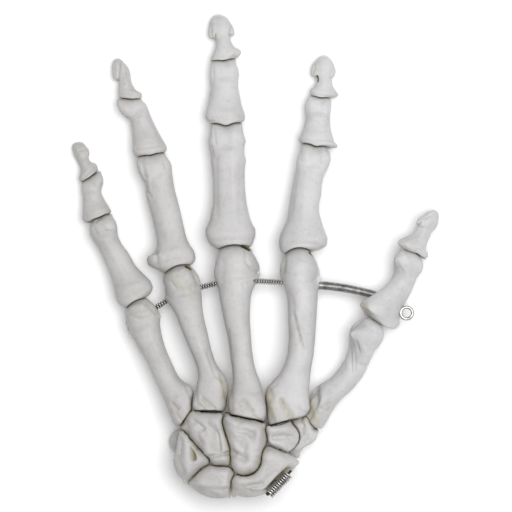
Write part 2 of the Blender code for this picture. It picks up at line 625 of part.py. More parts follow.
def metacarpal(finger, next_frame_of):
    """Metacarpal II to V: a base cut to the wrist seam, a waist and a round head."""
    size = METACARPALS[finger]
    outer, inner, flank_out, flank_in = (wrist_point(p) for p in METACARPAL_SEAM_shares[finger])
    middle = (outer + inner) / 2
    rise = (CARPUS_BACK_HEIGHT + CARPUS_TUNNEL_HEIGHT) / 2 - arch_fall(middle.x)
    middle.z = rise
    frame = bone_frame(middle, size["heading"],
                       drop_angle(rise, MCP_HEIGHTS[finger], size["length"]))
    knuckle = frame @ Vector((0.0, size["length"], 0.0))
    next_frame = next_frame_of(knuckle)
    to_own = frame.inverted()
    rings = []
    deep = METACARPAL_BASE_DEPTH[finger]
    along = (inner - outer).normalized()
    distal = Vector((-along.y, along.x, 0.0))
    half_gap = CARPAL_SPACE / 2
    for climb, width_share, depth_share in METACARPAL_SEAT_shares:
        left = mix(outer, flank_out, climb) + (along + distal) * half_gap
        right = mix(inner, flank_in, climb) + (distal - along) * half_gap
        centre = (left + right) / 2
        half = (right - left) / 2 * width_share
        left = centre - half
        right = centre + half
        left.z = right.z = rise
        ring = section(to_own @ left, to_own @ right, deep * depth_share * BACK_share,
                       deep * depth_share * (1 - BACK_share))
        rings.append(ring)
    plain = dict(size, base_width=(flank_in - flank_out).length, base_depth=deep)
    rings += base_stations(plain, METACARPAL_BASE_shares, 0.0, size["length"])
    rings.append(waist_station(size, METACARPAL_WAIST_share, 0.0, size["length"]))
    rings += head_stations(size, METACARPAL_HEAD_shares, 0.0, size["length"])
    rings.append(neck_station(size, size["length"], METACARPAL_NECK_share))
    rings += head_rings(size["head_radius"], size["head_width"], next_frame, frame,
                        METACARPAL_NARROWING_share)
    bone = loft(finger + "_metacarpal", rings, frame, STAND)
    return bone, frame, next_frame


def finger_frame(size, centre, height_from, height_to, roll=0.0):
    """Axes of a bone that falls from one joint's height to the next."""
    drop = drop_angle(height_from, height_to, size["length"])
    return bone_frame(centre, size["heading"], drop, roll)


def flexion_axis(frame):
    return -(frame.to_3x3() @ Vector((1.0, 0.0, 0.0)))


def build_finger(finger):
    """Metacarpal, three phalanges, their joints and link wires."""
    def first_frame(knuckle):
        return finger_frame(PROXIMALS[finger], knuckle, MCP_HEIGHTS[finger], PIP_HEIGHTS[finger])

    bone, frame, near = metacarpal(finger, first_frame)
    pip = near @ Vector((0.0, PROXIMALS[finger]["length"], 0.0))
    mid = finger_frame(MIDDLES[finger], pip, PIP_HEIGHTS[finger], DIP_HEIGHTS[finger])
    dip = mid @ Vector((0.0, MIDDLES[finger]["length"], 0.0))
    far = finger_frame(DISTALS[finger], dip, DIP_HEIGHTS[finger], TIP_HEIGHTS[finger])
    hinges = [add_joint(finger + "_mcp", near, STAND, flexion_axis(near), FINGER_SWINGS["mcp"])]
    hinges.append(add_joint(finger + "_pip", mid, hinges[0], flexion_axis(mid),
                            FINGER_SWINGS["pip"]))
    hinges.append(add_joint(finger + "_dip", far, hinges[1], flexion_axis(far),
                            FINGER_SWINGS["dip"]))
    head = METACARPALS[finger]["head_radius"]
    neck = PROXIMALS[finger]["head_radius"]
    tip = MIDDLES[finger]["head_radius"]
    phalanx(finger + "_proximal_phalanx", PROXIMALS[finger], near, mid, head, hinges[0])
    phalanx(finger + "_middle_phalanx", MIDDLES[finger], mid, far, neck, hinges[1])
    distal_phalanx(finger + "_distal_phalanx", DISTALS[finger], far, tip, hinges[2])
    link_wire(finger + "_mcp_link", near, head, STAND)
    link_wire(finger + "_pip_link", mid, neck, hinges[0])
    link_wire(finger + "_dip_link", far, tip, hinges[1])
    return bone, frame


def leave_point(bone, start, direction):
    """Where a straight wire from start, inside the bone, comes out of it."""
    bpy.context.view_layer.update()
    to_hand = STAND.matrix_world.inverted() @ bone.matrix_world
    points = [to_hand @ v.co for v in bone.data.vertices]
    faces = [tuple(p.vertices) for p in bone.data.polygons]
    tree = BVHTree.FromPolygons(points, faces)
    hit = tree.ray_cast(start, direction.normalized())[0]
    return hit


def spring_seat(bone, start, direction, reach):
    """Where a coil of this outer radius, on a wire from start, first clears the bone."""
    direction = direction.normalized()
    side = direction.orthogonal().normalized()
    up = direction.cross(side)
    far = (leave_point(bone, start, direction) - start).dot(direction)
    for i in range(CURL_POINTS):
        angle = 2 * math.pi * i / CURL_POINTS
        offset = (side * math.cos(angle) + up * math.sin(angle)) * reach
        hit = leave_point(bone, start + offset, direction)
        if hit is not None:
            far = max(far, (hit - start).dot(direction))
    return start + direction * (far + SEAT_GAP)


def coil_points(start, end, radius, pitch, wire, bow=0.0):
    """Open coil between two points, with a straight end of one wire diameter at each."""
    axis = end - start
    length = axis.length
    axis.normalize()
    side = axis.cross(Vector((0.0, 0.0, 1.0))).normalized()
    up = side.cross(axis)
    run = length - 4 * wire
    turns = max(round(run / pitch), 1)
    count = turns * CURL_POINTS
    points = [start + side * radius]
    for i in range(count + 1):
        share = i / count
        angle = 2 * math.pi * i / CURL_POINTS
        offset = side * math.cos(angle) + up * math.sin(angle)
        sag = side * (bow * math.sin(math.pi * share))
        points.append(start + axis * (2 * wire + run * share) + offset * radius + sag)
    points.append(end + side * radius)
    return points, turns


def least_gap(points, wire):
    """Smallest clear space between a coil's neighbouring curls."""
    best = None
    for i, a in enumerate(points):
        for b in points[i + CURL_POINTS // 2 + 1:]:
            space = (a - b).length - 2 * wire
            if best is None or space < best:
                best = space
    return best


def spring(name, start, end, radius, pitch, wire, parent, bow=0.0):
    points, turns = coil_points(start, end, radius, pitch, wire, bow)
    print("%s: %d curls, least gap %.2f mm" % (name, turns, least_gap(points, wire) * 1000))
    return wire_mesh(name, points, wire, parent=parent, material=STEEL)


def build_carpus():
    bones = {}
    for name in CARPAL_OUTLINES:
        if name == "trapezium":
            bones[name] = carpal(name, top=TRAPEZIUM_TOP, bottom=TRAPEZIUM_BOTTOM)
        elif name == "triquetrum":
            bones[name] = carpal(name, bottom=PISIFORM_BASE + PISIFORM_HEIGHT + SEAT_GAP)
        else:
            bones[name] = carpal(name)
    return bones


def build_pisiform(bones):
    """Pea-shaped bone on the palm side of the triquetrum."""
    ball = bmesh.new()
    bmesh.ops.create_uvsphere(ball, u_segments=RING_POINTS, v_segments=RING_POINTS // 2,
                              radius=1.0)
    bmesh.ops.scale(ball, vec=(PISIFORM_WIDTH / 2, PISIFORM_LENGTH / 2, PISIFORM_HEIGHT / 2),
                    verts=ball.verts)
    mesh = bpy.data.meshes.new("pisiform")
    ball.to_mesh(mesh)
    ball.free()
    shade(mesh)
    spot = wrist_point(PISIFORM_shares, PISIFORM_BASE + PISIFORM_HEIGHT / 2)
    bones["pisiform"] = place_object(bpy.data.objects.new("pisiform", mesh),
                                     Matrix.Translation(spot), STAND, BONE)


def build_hook(hamate):
    """The hamate's hook: a short horn on its palm side, leaning to the thumb."""
    root = wrist_point(HOOK_shares, HOOK_ROOT_HEIGHT)
    rings = []
    for height_share, size_share in HOOK_LEVEL_shares:
        centre = Vector((HOOK_LEAN * height_share ** 2, 0.0,
                         (HOOK_TIP_HEIGHT - HOOK_ROOT_HEIGHT) * height_share))
        ring = []
        for i in range(CURL_POINTS):
            angle = 2 * math.pi * i / CURL_POINTS
            ring.append(centre + Vector((HOOK_WIDTH / 2 * size_share * math.cos(angle),
                                         HOOK_LENGTH / 2 * size_share * math.sin(angle), 0.0)))
        rings.append(ring)
    horn = loft("hook_of_hamate", rings, Matrix.Translation(root), None)
    HAND.objects.unlink(horn)
    cut(hamate, as_cutter(horn), "UNION")


def bowed_line(start, end, bow):
    """Points along the middle of a bowed spring."""
    axis = (end - start).normalized()
    side = axis.cross(Vector((0.0, 0.0, 1.0))).normalized()
    return [mix(start, end, i / BOW_POINTS) + side * (bow * math.sin(math.pi * i / BOW_POINTS))
            for i in range(BOW_POINTS + 1)]


def drill_along(name, points, wire_radius):
    return wire_mesh(name, points, wire_radius + BORE_CLEARANCE)


def wrist_spot(shares):
    """A place in the wrist, as shares of its width, length and height."""
    return wrist_point(shares, shares[2] * CARPUS_BACK_HEIGHT)


def pin(name, ends, first, second):
    """Straight pin across a seam of the wrist, in a bore of each bone."""
    wire_mesh(name, ends, PIN_RADIUS, parent=STAND, material=STEEL)
    along = (ends[1] - ends[0]).normalized() * SEAT_GAP
    pin_drill = drill_along(name + "_drill", [ends[0] - along, ends[1] + along], PIN_RADIUS)
    cut(first, pin_drill)
    cut(second, pin_drill)


def thumb_frames():
    """Axes of the thumb's metacarpal and of its two phalanges."""
    cmc = wrist_point(SADDLE_shares, THUMB_HEIGHTS["cmc"])
    root = finger_frame(THUMB_METACARPAL, cmc, THUMB_HEIGHTS["cmc"], THUMB_HEIGHTS["mcp"],
                        THUMB_ROLL)
    mcp = root @ Vector((0.0, THUMB_METACARPAL["length"], 0.0))
    near = finger_frame(PROXIMALS["thumb"], mcp, THUMB_HEIGHTS["mcp"], THUMB_HEIGHTS["ip"],
                        THUMB_ROLL)
    ip = near @ Vector((0.0, PROXIMALS["thumb"]["length"], 0.0))
    far = finger_frame(DISTALS["thumb"], ip, THUMB_HEIGHTS["ip"], THUMB_HEIGHTS["tip"],
                       THUMB_ROLL)
    return root, near, far


CARPALS = build_carpus()
build_pisiform(CARPALS)
build_hook(CARPALS["hamate"])
METACARPAL_BONES = {}
METACARPAL_FRAMES = {}
for each in METACARPALS:
    METACARPAL_BONES[each], METACARPAL_FRAMES[each] = build_finger(each)

# Knuckle wire: through the heads of the metacarpals, bent over at the little finger's side
ORDER = ("little", "ring", "middle", "index")
PIERCED = {each: METACARPAL_FRAMES[each] @ Vector(
    (0.0, METACARPALS[each]["length"] - WIRE_SETBACKS[each], 0.0)) for each in ORDER}
first_run = (PIERCED["little"] - PIERCED["ring"]).normalized()
outer_exit = leave_point(METACARPAL_BONES["little"], PIERCED["little"], first_run)
turn = math.radians(TETHER_HEADING)
tether_run = Vector((math.sin(turn), math.cos(turn), 0.0))
inner_exit = leave_point(METACARPAL_BONES["index"], PIERCED["index"], tether_run)
bent_corner = outer_exit + first_run * (2 * KNUCKLE_WIRE_RADIUS + SEAT_GAP)
bent_tip = bent_corner + Vector((0.0, -BENT_END, 0.0))
wire_end = inner_exit - tether_run * KNUCKLE_WIRE_RADIUS
wire_path = [bent_tip, bent_corner] + [PIERCED[each] for each in ORDER] + [wire_end]
wire_mesh("knuckle_wire", wire_path, KNUCKLE_WIRE_RADIUS, parent=STAND, material=STEEL)
drill = wire_mesh("knuckle_drill", wire_path[1:-1] + [inner_exit + tether_run * CUT_OVERRUN],
                  KNUCKLE_WIRE_RADIUS + BORE_CLEARANCE)
for each in ORDER:
    cut(METACARPAL_BONES[each], drill)
for left, right in zip(ORDER, ORDER[1:]):
    run = (PIERCED[right] - PIERCED[left]).normalized()
    reach = SPACER_COIL_RADIUS + SPACER_WIRE_RADIUS
    leave = spring_seat(METACARPAL_BONES[left], PIERCED[left], run, reach)
    enter = spring_seat(METACARPAL_BONES[right], PIERCED[right], -run, reach)
    spring("%s_%s_spacer_spring" % (left, right), leave, enter, SPACER_COIL_RADIUS,
           SPACER_PITCH, SPACER_WIRE_RADIUS, STAND)

# Thumb, hung on the saddle of the trapezium
thumb_root, thumb_near, thumb_far = thumb_frames()
swing_axis = inner_exit - thumb_root.translation
cmc_joint = add_joint("thumb_cmc", thumb_root, STAND, swing_axis, THUMB_SWINGS["cmc"])
mcp_joint = add_joint("thumb_mcp", thumb_near, cmc_joint, flexion_axis(thumb_near),
                      THUMB_SWINGS["mcp"])
ip_joint = add_joint("thumb_ip", thumb_far, mcp_joint, flexion_axis(thumb_far),
                     THUMB_SWINGS["ip"])
phalanx("thumb_metacarpal", THUMB_METACARPAL, thumb_root, thumb_near, SADDLE_RADIUS, cmc_joint,
        ball=True)
THUMB_BONE = phalanx("thumb_proximal_phalanx", PROXIMALS["thumb"], thumb_near, thumb_far,
                     THUMB_METACARPAL["head_radius"], mcp_joint)
distal_phalanx("thumb_distal_phalanx", DISTALS["thumb"], thumb_far,
               PROXIMALS["thumb"]["head_radius"], ip_joint)
saddle_drill = drill_along("saddle_drill", [
    thumb_root @ Vector((0.0, SADDLE_RADIUS * SADDLE_BORE_share, 0.0)),
    thumb_root @ Vector((0.0, SADDLE_RADIUS + CUT_OVERRUN, 0.0))], LINK_RADIUS)
cut(CARPALS["trapezium"], saddle_drill)
link_wire("thumb_cmc_link", thumb_root, SADDLE_RADIUS, STAND, SADDLE_BORE_share)
link_wire("thumb_mcp_link", thumb_near, THUMB_METACARPAL["head_radius"], cmc_joint)
link_wire("thumb_ip_link", thumb_far, PROXIMALS["thumb"]["head_radius"], mcp_joint)

# Tether to the thumb, and the eye that the hand hangs by
pierced = thumb_near @ Vector((PROXIMALS["thumb"]["bow"] / 2, EYE_PLACE, 0.0))
turn = math.radians(PROXIMALS["thumb"]["heading"])
eye_run = Vector((math.cos(turn), -math.sin(turn), 0.0))
eye_entry = leave_point(THUMB_BONE, pierced, -eye_run)
eye_exit = leave_point(THUMB_BONE, pierced, eye_run)
tether_from = inner_exit + tether_run * (2 * SEAT_GAP)
tether_to = eye_entry - eye_run * (2 * SEAT_GAP)
reach = TETHER_COIL_RADIUS + TETHER_WIRE_RADIUS
straight = (tether_to - tether_from).normalized()
tether_from = spring_seat(METACARPAL_BONES["index"], PIERCED["index"], straight, reach)
tether_to = spring_seat(THUMB_BONE, pierced, -straight, reach)
tether_to = tether_from + straight * (tether_to - tether_from).dot(straight)
spring("thumb_tether_spring", tether_from, tether_to, TETHER_COIL_RADIUS, TETHER_PITCH,
       TETHER_WIRE_RADIUS, STAND, TETHER_BOW)
wire_mesh("thumb_tether_wire", bowed_line(tether_from, tether_to, TETHER_BOW),
          KNUCKLE_WIRE_RADIUS, parent=STAND, material=STEEL)
eye_start = eye_entry + eye_run * KNUCKLE_WIRE_RADIUS
eye_path = [eye_start, eye_exit + eye_run * EYE_STANDOFF / 2]
eye_centre = eye_exit + eye_run * (EYE_STANDOFF + EYE_RADIUS)
steps = round(EYE_TURNS * EYE_POINTS)
for i in range(steps + 1):
    angle = math.pi - turn + 2 * math.pi * i / EYE_POINTS
    rise = (2 * EYE_WIRE_RADIUS + EYE_LIFT) * i / EYE_POINTS
    eye_path.append(eye_centre + Vector((EYE_RADIUS * math.cos(angle),
                                         EYE_RADIUS * math.sin(angle), rise)))
wire_mesh("hanging_eye", eye_path, EYE_WIRE_RADIUS, thumb_near, mcp_joint, STEEL)
eye_drill = wire_mesh("eye_drill", [eye_entry - eye_run * CUT_OVERRUN,
                                    eye_exit + eye_run * CUT_OVERRUN],
                      EYE_WIRE_RADIUS + BORE_CLEARANCE)
cut(THUMB_BONE, eye_drill)

# Wires and pins that hold the wrist together
for wire_name, (spots, stops) in ROW_WIRE_shares.items():
    path = [wrist_spot(spot) for spot in spots]
    wire_mesh(wire_name, path, ROW_WIRE_RADIUS, parent=STAND, material=STEEL)
    path[0] += (path[0] - path[1]).normalized() * SEAT_GAP
    path[-1] += (path[-1] - path[-2]).normalized() * SEAT_GAP
    row_drill = drill_along(wire_name + "_drill", path, ROW_WIRE_RADIUS)
    for key in stops:
        cut(CARPALS[key], row_drill)
for each, key in BASE_PINS.items():
    frame = METACARPAL_FRAMES[each]
    ends = [frame @ Vector((0.0, -PIN_LENGTH / 2, PIN_RISE)),
            frame @ Vector((0.0, PIN_LENGTH / 2, PIN_RISE))]
    pin(each + "_base_pin", ends, CARPALS[key], METACARPAL_BONES[each])
for pin_name, (spot, heading, tilt, first, second) in WRIST_PIN_shares.items():
    centre = wrist_spot(spot)
    half = bone_frame(centre, heading, math.radians(tilt)).col[1].to_3d() * PIN_LENGTH / 2
    pin(pin_name, [centre - half, centre + half], CARPALS[first], CARPALS[second])

# Spring in the edge of the scaphoid, on a wire whose ends go back into the bone
middle = wrist_point(WRIST_SPRING_shares, WRIST_SPRING_HEIGHT)
turn = math.radians(WRIST_SPRING_HEADING)
run = Vector((math.sin(turn), math.cos(turn), 0.0))
spring_low = middle - run * WRIST_SPRING_LENGTH / 2
spring_high = middle + run * WRIST_SPRING_LENGTH / 2
spring("wrist_spring", spring_low, spring_high, WRIST_COIL_RADIUS, WRIST_PITCH,
       WRIST_WIRE_RADIUS, STAND)
path = [wrist_point(p, WRIST_SPRING_HEIGHT) for p in WRIST_LOW_END_shares]
path += [spring_low - run * SEAT_GAP, spring_high + run * SEAT_GAP]
path += [wrist_point(p, WRIST_SPRING_HEIGHT) for p in WRIST_HIGH_END_shares]
wire_mesh("wrist_spring_wire", path, WRIST_CORE_RADIUS, parent=STAND, material=STEEL)
groove = wire_mesh("spring_groove", [spring_low - run * SEAT_GAP * 2,
                                     spring_high + run * SEAT_GAP * 2],
                   WRIST_COIL_RADIUS + WRIST_WIRE_RADIUS + 2 * SEAT_GAP, bevel_steps=GROOVE_BEVEL_STEPS)
cut(CARPALS["scaphoid"], groove)
path[0] += (path[0] - path[1]).normalized() * SEAT_GAP
path[-1] += (path[-1] - path[-2]).normalized() * SEAT_GAP
cut(CARPALS["scaphoid"], drill_along("spring_wire_drill", path, WRIST_CORE_RADIUS))

# Set the hand on its origin: middle of its box in the plan, lowest point on the table
bpy.context.view_layer.update()
graph = bpy.context.evaluated_depsgraph_get()
low = Vector((math.inf,) * 3)
high = -low
for obj in HAND.objects:
    if obj.type != "MESH":
        continue
    shape = obj.evaluated_get(graph)
    for corner in (obj.matrix_world @ v.co for v in shape.to_mesh().vertices):
        low = Vector(map(min, low, corner))
        high = Vector(map(max, high, corner))
    shape.to_mesh_clear()
STAND.location = (-(low.x + high.x) / 2, -(low.y + high.y) / 2, -low.z)
bpy.context.view_layer.update()
print("size mm", [round(v * 1000, 2) for v in high - low], "lowest", round(low.z * 1000, 3))
for name, empty, axis, swing in JOINTS:
    spot = empty.matrix_world.translation
    print("joint %s at (%.6f, %.6f, %.6f) axis (%.6f, %.6f, %.6f) range %g to %g"
          % (name, *spot, *axis, *swing))
eye_spot = STAND.matrix_world @ eye_centre
print("eye at (%.6f, %.6f, %.6f)" % tuple(eye_spot))
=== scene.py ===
import json
import math

import bmesh
import bpy
import numpy as np
from mathutils import Matrix, Vector, geometry, noise
from mathutils.bvhtree import BVHTree
from mathutils.kdtree import KDTree


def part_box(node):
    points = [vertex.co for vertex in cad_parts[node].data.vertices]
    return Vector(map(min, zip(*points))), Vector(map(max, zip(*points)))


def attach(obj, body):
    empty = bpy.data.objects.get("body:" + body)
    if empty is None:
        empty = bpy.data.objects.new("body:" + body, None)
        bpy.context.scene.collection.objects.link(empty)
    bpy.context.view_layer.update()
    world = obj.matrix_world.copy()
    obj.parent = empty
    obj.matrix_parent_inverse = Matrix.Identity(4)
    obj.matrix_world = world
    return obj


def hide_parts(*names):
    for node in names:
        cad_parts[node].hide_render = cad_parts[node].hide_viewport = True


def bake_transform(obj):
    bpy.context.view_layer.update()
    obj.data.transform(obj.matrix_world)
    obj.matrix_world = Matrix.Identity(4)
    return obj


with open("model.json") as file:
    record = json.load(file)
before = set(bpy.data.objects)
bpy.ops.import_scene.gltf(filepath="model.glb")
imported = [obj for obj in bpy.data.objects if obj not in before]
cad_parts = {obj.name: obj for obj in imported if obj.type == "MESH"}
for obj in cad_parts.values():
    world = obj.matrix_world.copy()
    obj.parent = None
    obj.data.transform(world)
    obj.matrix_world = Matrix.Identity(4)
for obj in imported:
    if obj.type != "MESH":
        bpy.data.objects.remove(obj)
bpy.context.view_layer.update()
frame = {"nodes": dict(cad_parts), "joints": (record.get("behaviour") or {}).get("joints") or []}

# ---------------------------------------------------------------------------------------------
# Metacarpals of the four fingers: long bones of cast PVC, poured in one mould from a real hand.
# Each has a squared base that stands on the wrist, a waisted shaft and a round head that is
# drilled for the knuckle wire. Outlines are read off the photograph, heights are anatomy's.

PIXEL = 0.00039                      # one pixel of the photograph, on the life-size hand
PHOTO_MIDDLE = (256.94, 256.1)       # the pixel above the hand's origin
COLUMNS = 88                         # points round a bone
RING_STEP = 0.00036
RIM_WIDTH = 0.0010                   # the rim of a base is worn round over this width,
RIM_WEAR = 0.07                      # by this share of its depth,
RIM_SIDES = 0.6                      # and to its sides by this share of that
SEAT_RINGS = (0.0, 0.2, 0.42, 0.62, 0.8, 0.93)   # rings over a base, as shares of its size
SEAT_LEAST = 0.25                    # a hollow stays this share of a radius off its hinge
SOCKET_GAP = 0.00017                 # air between a head and the hollow that turns on it
SQUARE_RUN = 0.3                     # the base's squarer corners fade out along this share of
SLIDE_RUN = 0.2                      # the bone's length, and the hollow's form along this one
SHAFT_POWER = 0.9                    # corners of a shaft: 1 is round, less is squarer
TIP_ROUND, TIP_RINGS = 0.0012, 9     # length over which a closed tip is rounded
# Between these distances from its hinge, in radii, a shaft's rings turn into the head's own: in
# form, width, corners, height and reach
HEAD_FORM, HEAD_WIDTH, HEAD_CORNERS = (-1.6, -0.45), (-0.1, 0.6), (-1.3, -0.2)
HEAD_HEIGHT, HEAD_REACH = (-1.0, -0.2), (-1.2, 0.1)
HEAD_ARC = (-26.7, 89.0)             # degrees round a head that have rings of their own
HEAD_OUTLINE = -2.5                  # the outline counts for it from here on, in radii
HEAD_ROOM = 1.08                     # a head is this much wider than a ball of its reach,
HEAD_SOFT = 9                        # a limit that sets in the harder, the higher this power
FLATTEST = 0.3                       # no part of a head reaches less than this share of it
LEAN_LEAST = 0.1                     # a bone rolled less than this counts as level
HIDDEN_MOST = 0.85                   # most of a rolled bone's width that its height can give
HINGES = {j["name"]: (Vector(j["pos_m"]), Vector(j["axis"])) for j in frame["joints"]}
TOP_SIDE = 3                         # marks fade out where a face turns down past a third
HOLLOW_SHADE = (0.15, 0.10)           # painted shade per millimetre of a hollow's depth, and the most
LUMPS, PITS = (260.0, 620.0), 1500.0   # per metre: lumps of 4 and 1.6 mm, pits of 0.7 mm
CASTS = []                           # every cast piece, for the dirt and painted shade between them, and the dirt and painted shade in its own grooves
SOIL_AND_SHADE = {}                            # and the dirt in its own grooves


def plan(px, py):
    """A pixel of the photograph as a place on the table."""
    return Vector(((px - PHOTO_MIDDLE[0]) * PIXEL, (PHOTO_MIDDLE[1] - py) * PIXEL))


def bone_axes(origin, along, across):
    """X across the bone to the thumb's side, Y along it, Z to its back."""
    along = along.normalized()
    across = (across - along * across.dot(along)).normalized()
    axes = Matrix((across, along, across.cross(along))).transposed().to_4x4()
    axes.translation = origin
    return axes


def on_bone(axes, spot):
    """A pixel as a distance across and along the bone's middle plane."""
    step = plan(*spot) - axes.translation.xy
    a, b = axes.col[0].xy, axes.col[1].xy
    area = a.x * b.y - a.y * b.x
    return (step.x * b.y - step.y * b.x) / area, (a.x * step.y - a.y * step.x) / area


def flowing(knots, values, at):
    """Curve through the values that never swings past them."""
    knots, values = np.asarray(knots, float), np.asarray(values, float)
    at = np.clip(at, knots[0], knots[-1])
    gaps = np.diff(knots)
    slopes = np.diff(values) / gaps
    ends = np.concatenate(([slopes[0]], np.zeros(len(slopes) - 1), [slopes[-1]]))
    same = slopes[:-1] * slopes[1:] > 0
    low, high = 2 * gaps[1:] + gaps[:-1], gaps[1:] + 2 * gaps[:-1]
    with np.errstate(divide="ignore", invalid="ignore"):
        eased = (low + high) / (low / slopes[:-1] + high / slopes[1:])
    ends[1:-1] = np.where(same, eased, 0.0)
    i = np.clip(np.searchsorted(knots, at, side="right") - 1, 0, len(gaps) - 1)
    t = (at - knots[i]) / gaps[i]
    return (values[i] * (1 + 2 * t) * (1 - t) ** 2 + gaps[i] * ends[i] * t * (1 - t) ** 2
            + values[i + 1] * t * t * (3 - 2 * t) + gaps[i] * ends[i + 1] * t * t * (t - 1))


def eased(value, start, end):
    t = np.clip((value - start) / (end - start), 0.0, 1.0)
    return t * t * (3 - 2 * t)


def powered(value, power):
    return np.sign(value) * np.abs(value) ** power


def swell(x, joint):
    """How far a joint's rounded head reaches from its hinge, at x across it."""
    crown = np.sqrt(np.maximum(joint["radius"] ** 2 - (joint["crown"] * x) ** 2,
                               (FLATTEST * joint["radius"]) ** 2))
    dip = joint["groove"] * np.exp(-(x / joint["groove_width"]) ** 2)
    return crown + joint["tilt"] * x - dip


def placed(axes, x, y, z):
    points = np.stack([x, y, z], 1)
    turn = np.array(axes.to_3x3())
    return points @ turn.T + np.array(axes.translation)


def side_curves(axes, rows, height):
    """Left and right outline of a bone as (across, along) pairs, with its lean allowed for."""
    lean = abs(axes.col[0].z)
    sides = []
    for first in (0, 2):
        pairs = []
        for row in rows:
            x, y = on_bone(axes, row[first:first + 2])
            if lean > LEAN_LEAST:
                seen = abs(x) * math.sqrt(1 - lean ** 2)
                hidden = min(height(y) * lean / max(seen, 1e-5), HIDDEN_MOST)
                x *= math.sqrt(1 - hidden ** 2)
            pairs.append((x, y))
        sides.append(np.array(pairs))
    return sides


def cast_bone(name, axes, rows, heights, seat=None, head=None, corners=(0.78, SHAFT_POWER)):
    """Skin of a long bone: base or hollow seat, shaft, then a round head or a closed tip.

    rows are pixels (left x, left y, right x, right y) from base to end; heights are
    (along, back, palm); seat is the joint that the base turns on, head the one it carries;
    corners are the powers that square its section at the base and along the shaft."""
    along_k, back_k, palm_k = (np.array(k) for k in zip(*heights))
    left, right = side_curves(axes, rows, lambda y: float(flowing(along_k, back_k, y)))
    middle = (left[:, 1] + right[:, 1]) / 2
    keep = np.concatenate(([True], np.diff(np.maximum.accumulate(middle)) > 1e-5))
    left, right, middle = left[keep], right[keep], middle[keep]
    start, end = middle[0], middle[-1]
    length = head["along"] if head else end
    angle = np.linspace(0, 2 * math.pi, COLUMNS, endpoint=False)
    cosine, sine = np.cos(angle), np.sin(angle)

    def thickness(t):
        back, palm = (float(flowing(along_k, k, t)) for k in (back_k, palm_k))
        return np.where(sine > 0, back, palm)

    def outer(t):
        """One ring round the shaft, in the bone's own axes."""
        lx, ly, rx, ry = (float(flowing(middle, side[:, k], t))
                          for side in (left, right) for k in (0, 1))
        power = corners[0] + (corners[1] - corners[0]) * float(
            eased(t, start, start + SQUARE_RUN * length))
        u = powered(cosine, power)
        x = (lx + rx) / 2 + (rx - lx) / 2 * u
        y = (ly + ry) / 2 + (ry - ly) / 2 * u
        z = powered(sine, power) * thickness(t)
        worn = RIM_WEAR * max(1 - (t - start) / RIM_WIDTH, 0.0) ** 2
        return x + ((lx + rx) / 2 - x) * worn * RIM_SIDES, y, z * (1 - worn)

    def seated(x, y, z):
        if seat is None:
            return y
        reach = swell(x, seat) + SOCKET_GAP
        side = seat["ball"] * x
        return np.sqrt(np.maximum(reach ** 2 - (seat["cup"] * z) ** 2 - side ** 2,
                                  (SEAT_LEAST * seat["radius"]) ** 2))

    x0, y0, z0 = outer(start)
    slide = seated(x0, y0, z0) - y0
    rings = []
    for share in SEAT_RINGS:
        mid = (x0.max() + x0.min()) / 2
        x, z = mid + (x0 - mid) * share, z0 * share
        tilt = np.interp(x, np.sort(x0), y0[np.argsort(x0)])
        rings.append(placed(axes, x, seated(x, tilt, z), z))
    if head:
        joint, radius, crown = head["axes"], head["radius"], head["crown"]
        from_neck = [side[side[:, 1] > HEAD_OUTLINE * radius]
                     for side in side_curves(joint, rows, lambda y: radius)]
        steps = np.arange(start, length + HEAD_FORM[1] * radius, RING_STEP)
        turns = np.radians(np.linspace(*HEAD_ARC, max(int(radius * 2.0 / RING_STEP), 20)))
        stations = np.concatenate((steps, length + radius * np.sin(turns)))
    else:
        steps = np.arange(start, end - TIP_ROUND, RING_STEP)
        rounding = (1 - np.linspace(0, 1, TIP_RINGS)) ** 2
        stations = np.concatenate((steps, end - TIP_ROUND * rounding))

    def turned(u, span):
        """How far a ring this far beyond the hinge has turned into the head's."""
        return float(eased(u, span[0] * radius, span[1] * radius))

    for t in stations:
        x, y, z = outer(min(t, end))
        fade = 1 - float(eased(t, start, start + SLIDE_RUN * length))
        ring = placed(axes, x, y + slide * fade, z)
        u = t - length
        if head and (blend := turned(u, HEAD_FORM)) > 0:
            lx, rx = (float(np.interp(u, *side[np.argsort(side[:, 1])].T[::-1]))
                      for side in from_neck)
            room = HEAD_ROOM * math.sqrt(max(radius ** 2 - u ** 2, 1e-12)) / max(crown, 0.2)
            held = turned(u, HEAD_WIDTH)
            soft = [(abs(side) ** -HEAD_SOFT + room ** -HEAD_SOFT) ** (-1 / HEAD_SOFT)
                    for side in (lx, rx)]
            lx += held * (-soft[0] - lx)
            rx += held * (soft[1] - rx)
            power = SHAFT_POWER - 0.5 * turned(u, HEAD_CORNERS)
            jx = (lx + rx) / 2 + (rx - lx) / 2 * powered(cosine, SHAFT_POWER - 0.25 * blend)
            rounded = np.sqrt(np.maximum(1 - (crown * jx / radius) ** 2, 0.05))
            ball = np.sqrt(np.maximum((radius * rounded) ** 2 - u ** 2, 1e-10))
            ball *= head["depth"] / radius
            neck = thickness(t) * rounded
            high = neck + (ball - neck) * turned(u, HEAD_HEIGHT)
            scale = 1 + (swell(jx, head) / (radius * rounded) - 1) * turned(u, HEAD_REACH)
            own = placed(joint, jx, u * scale, powered(sine, power) * high * scale)
            ring = ring * (1 - blend) + own * blend
        rings.append(ring)
    return closed_skin(name, rings)


def closed_skin(name, rings):
    """Closed mesh through rings of the same count, with a point in the middle of each end."""
    count = len(rings[0])
    points = np.concatenate([rings[0].mean(0)[None]] + rings[1:] + [rings[-1].mean(0)[None]])
    faces = []
    last = len(points) - 1
    for j in range(count):
        k = (j + 1) % count
        faces.append((0, 1 + k, 1 + j))
        for i in range(len(rings) - 2):
            a = 1 + i * count
            faces.append((a + j, a + k, a + count + k, a + count + j))
        a = last - count
        faces.append((a + j, a + k, last))
    return meshed(name, points, faces)


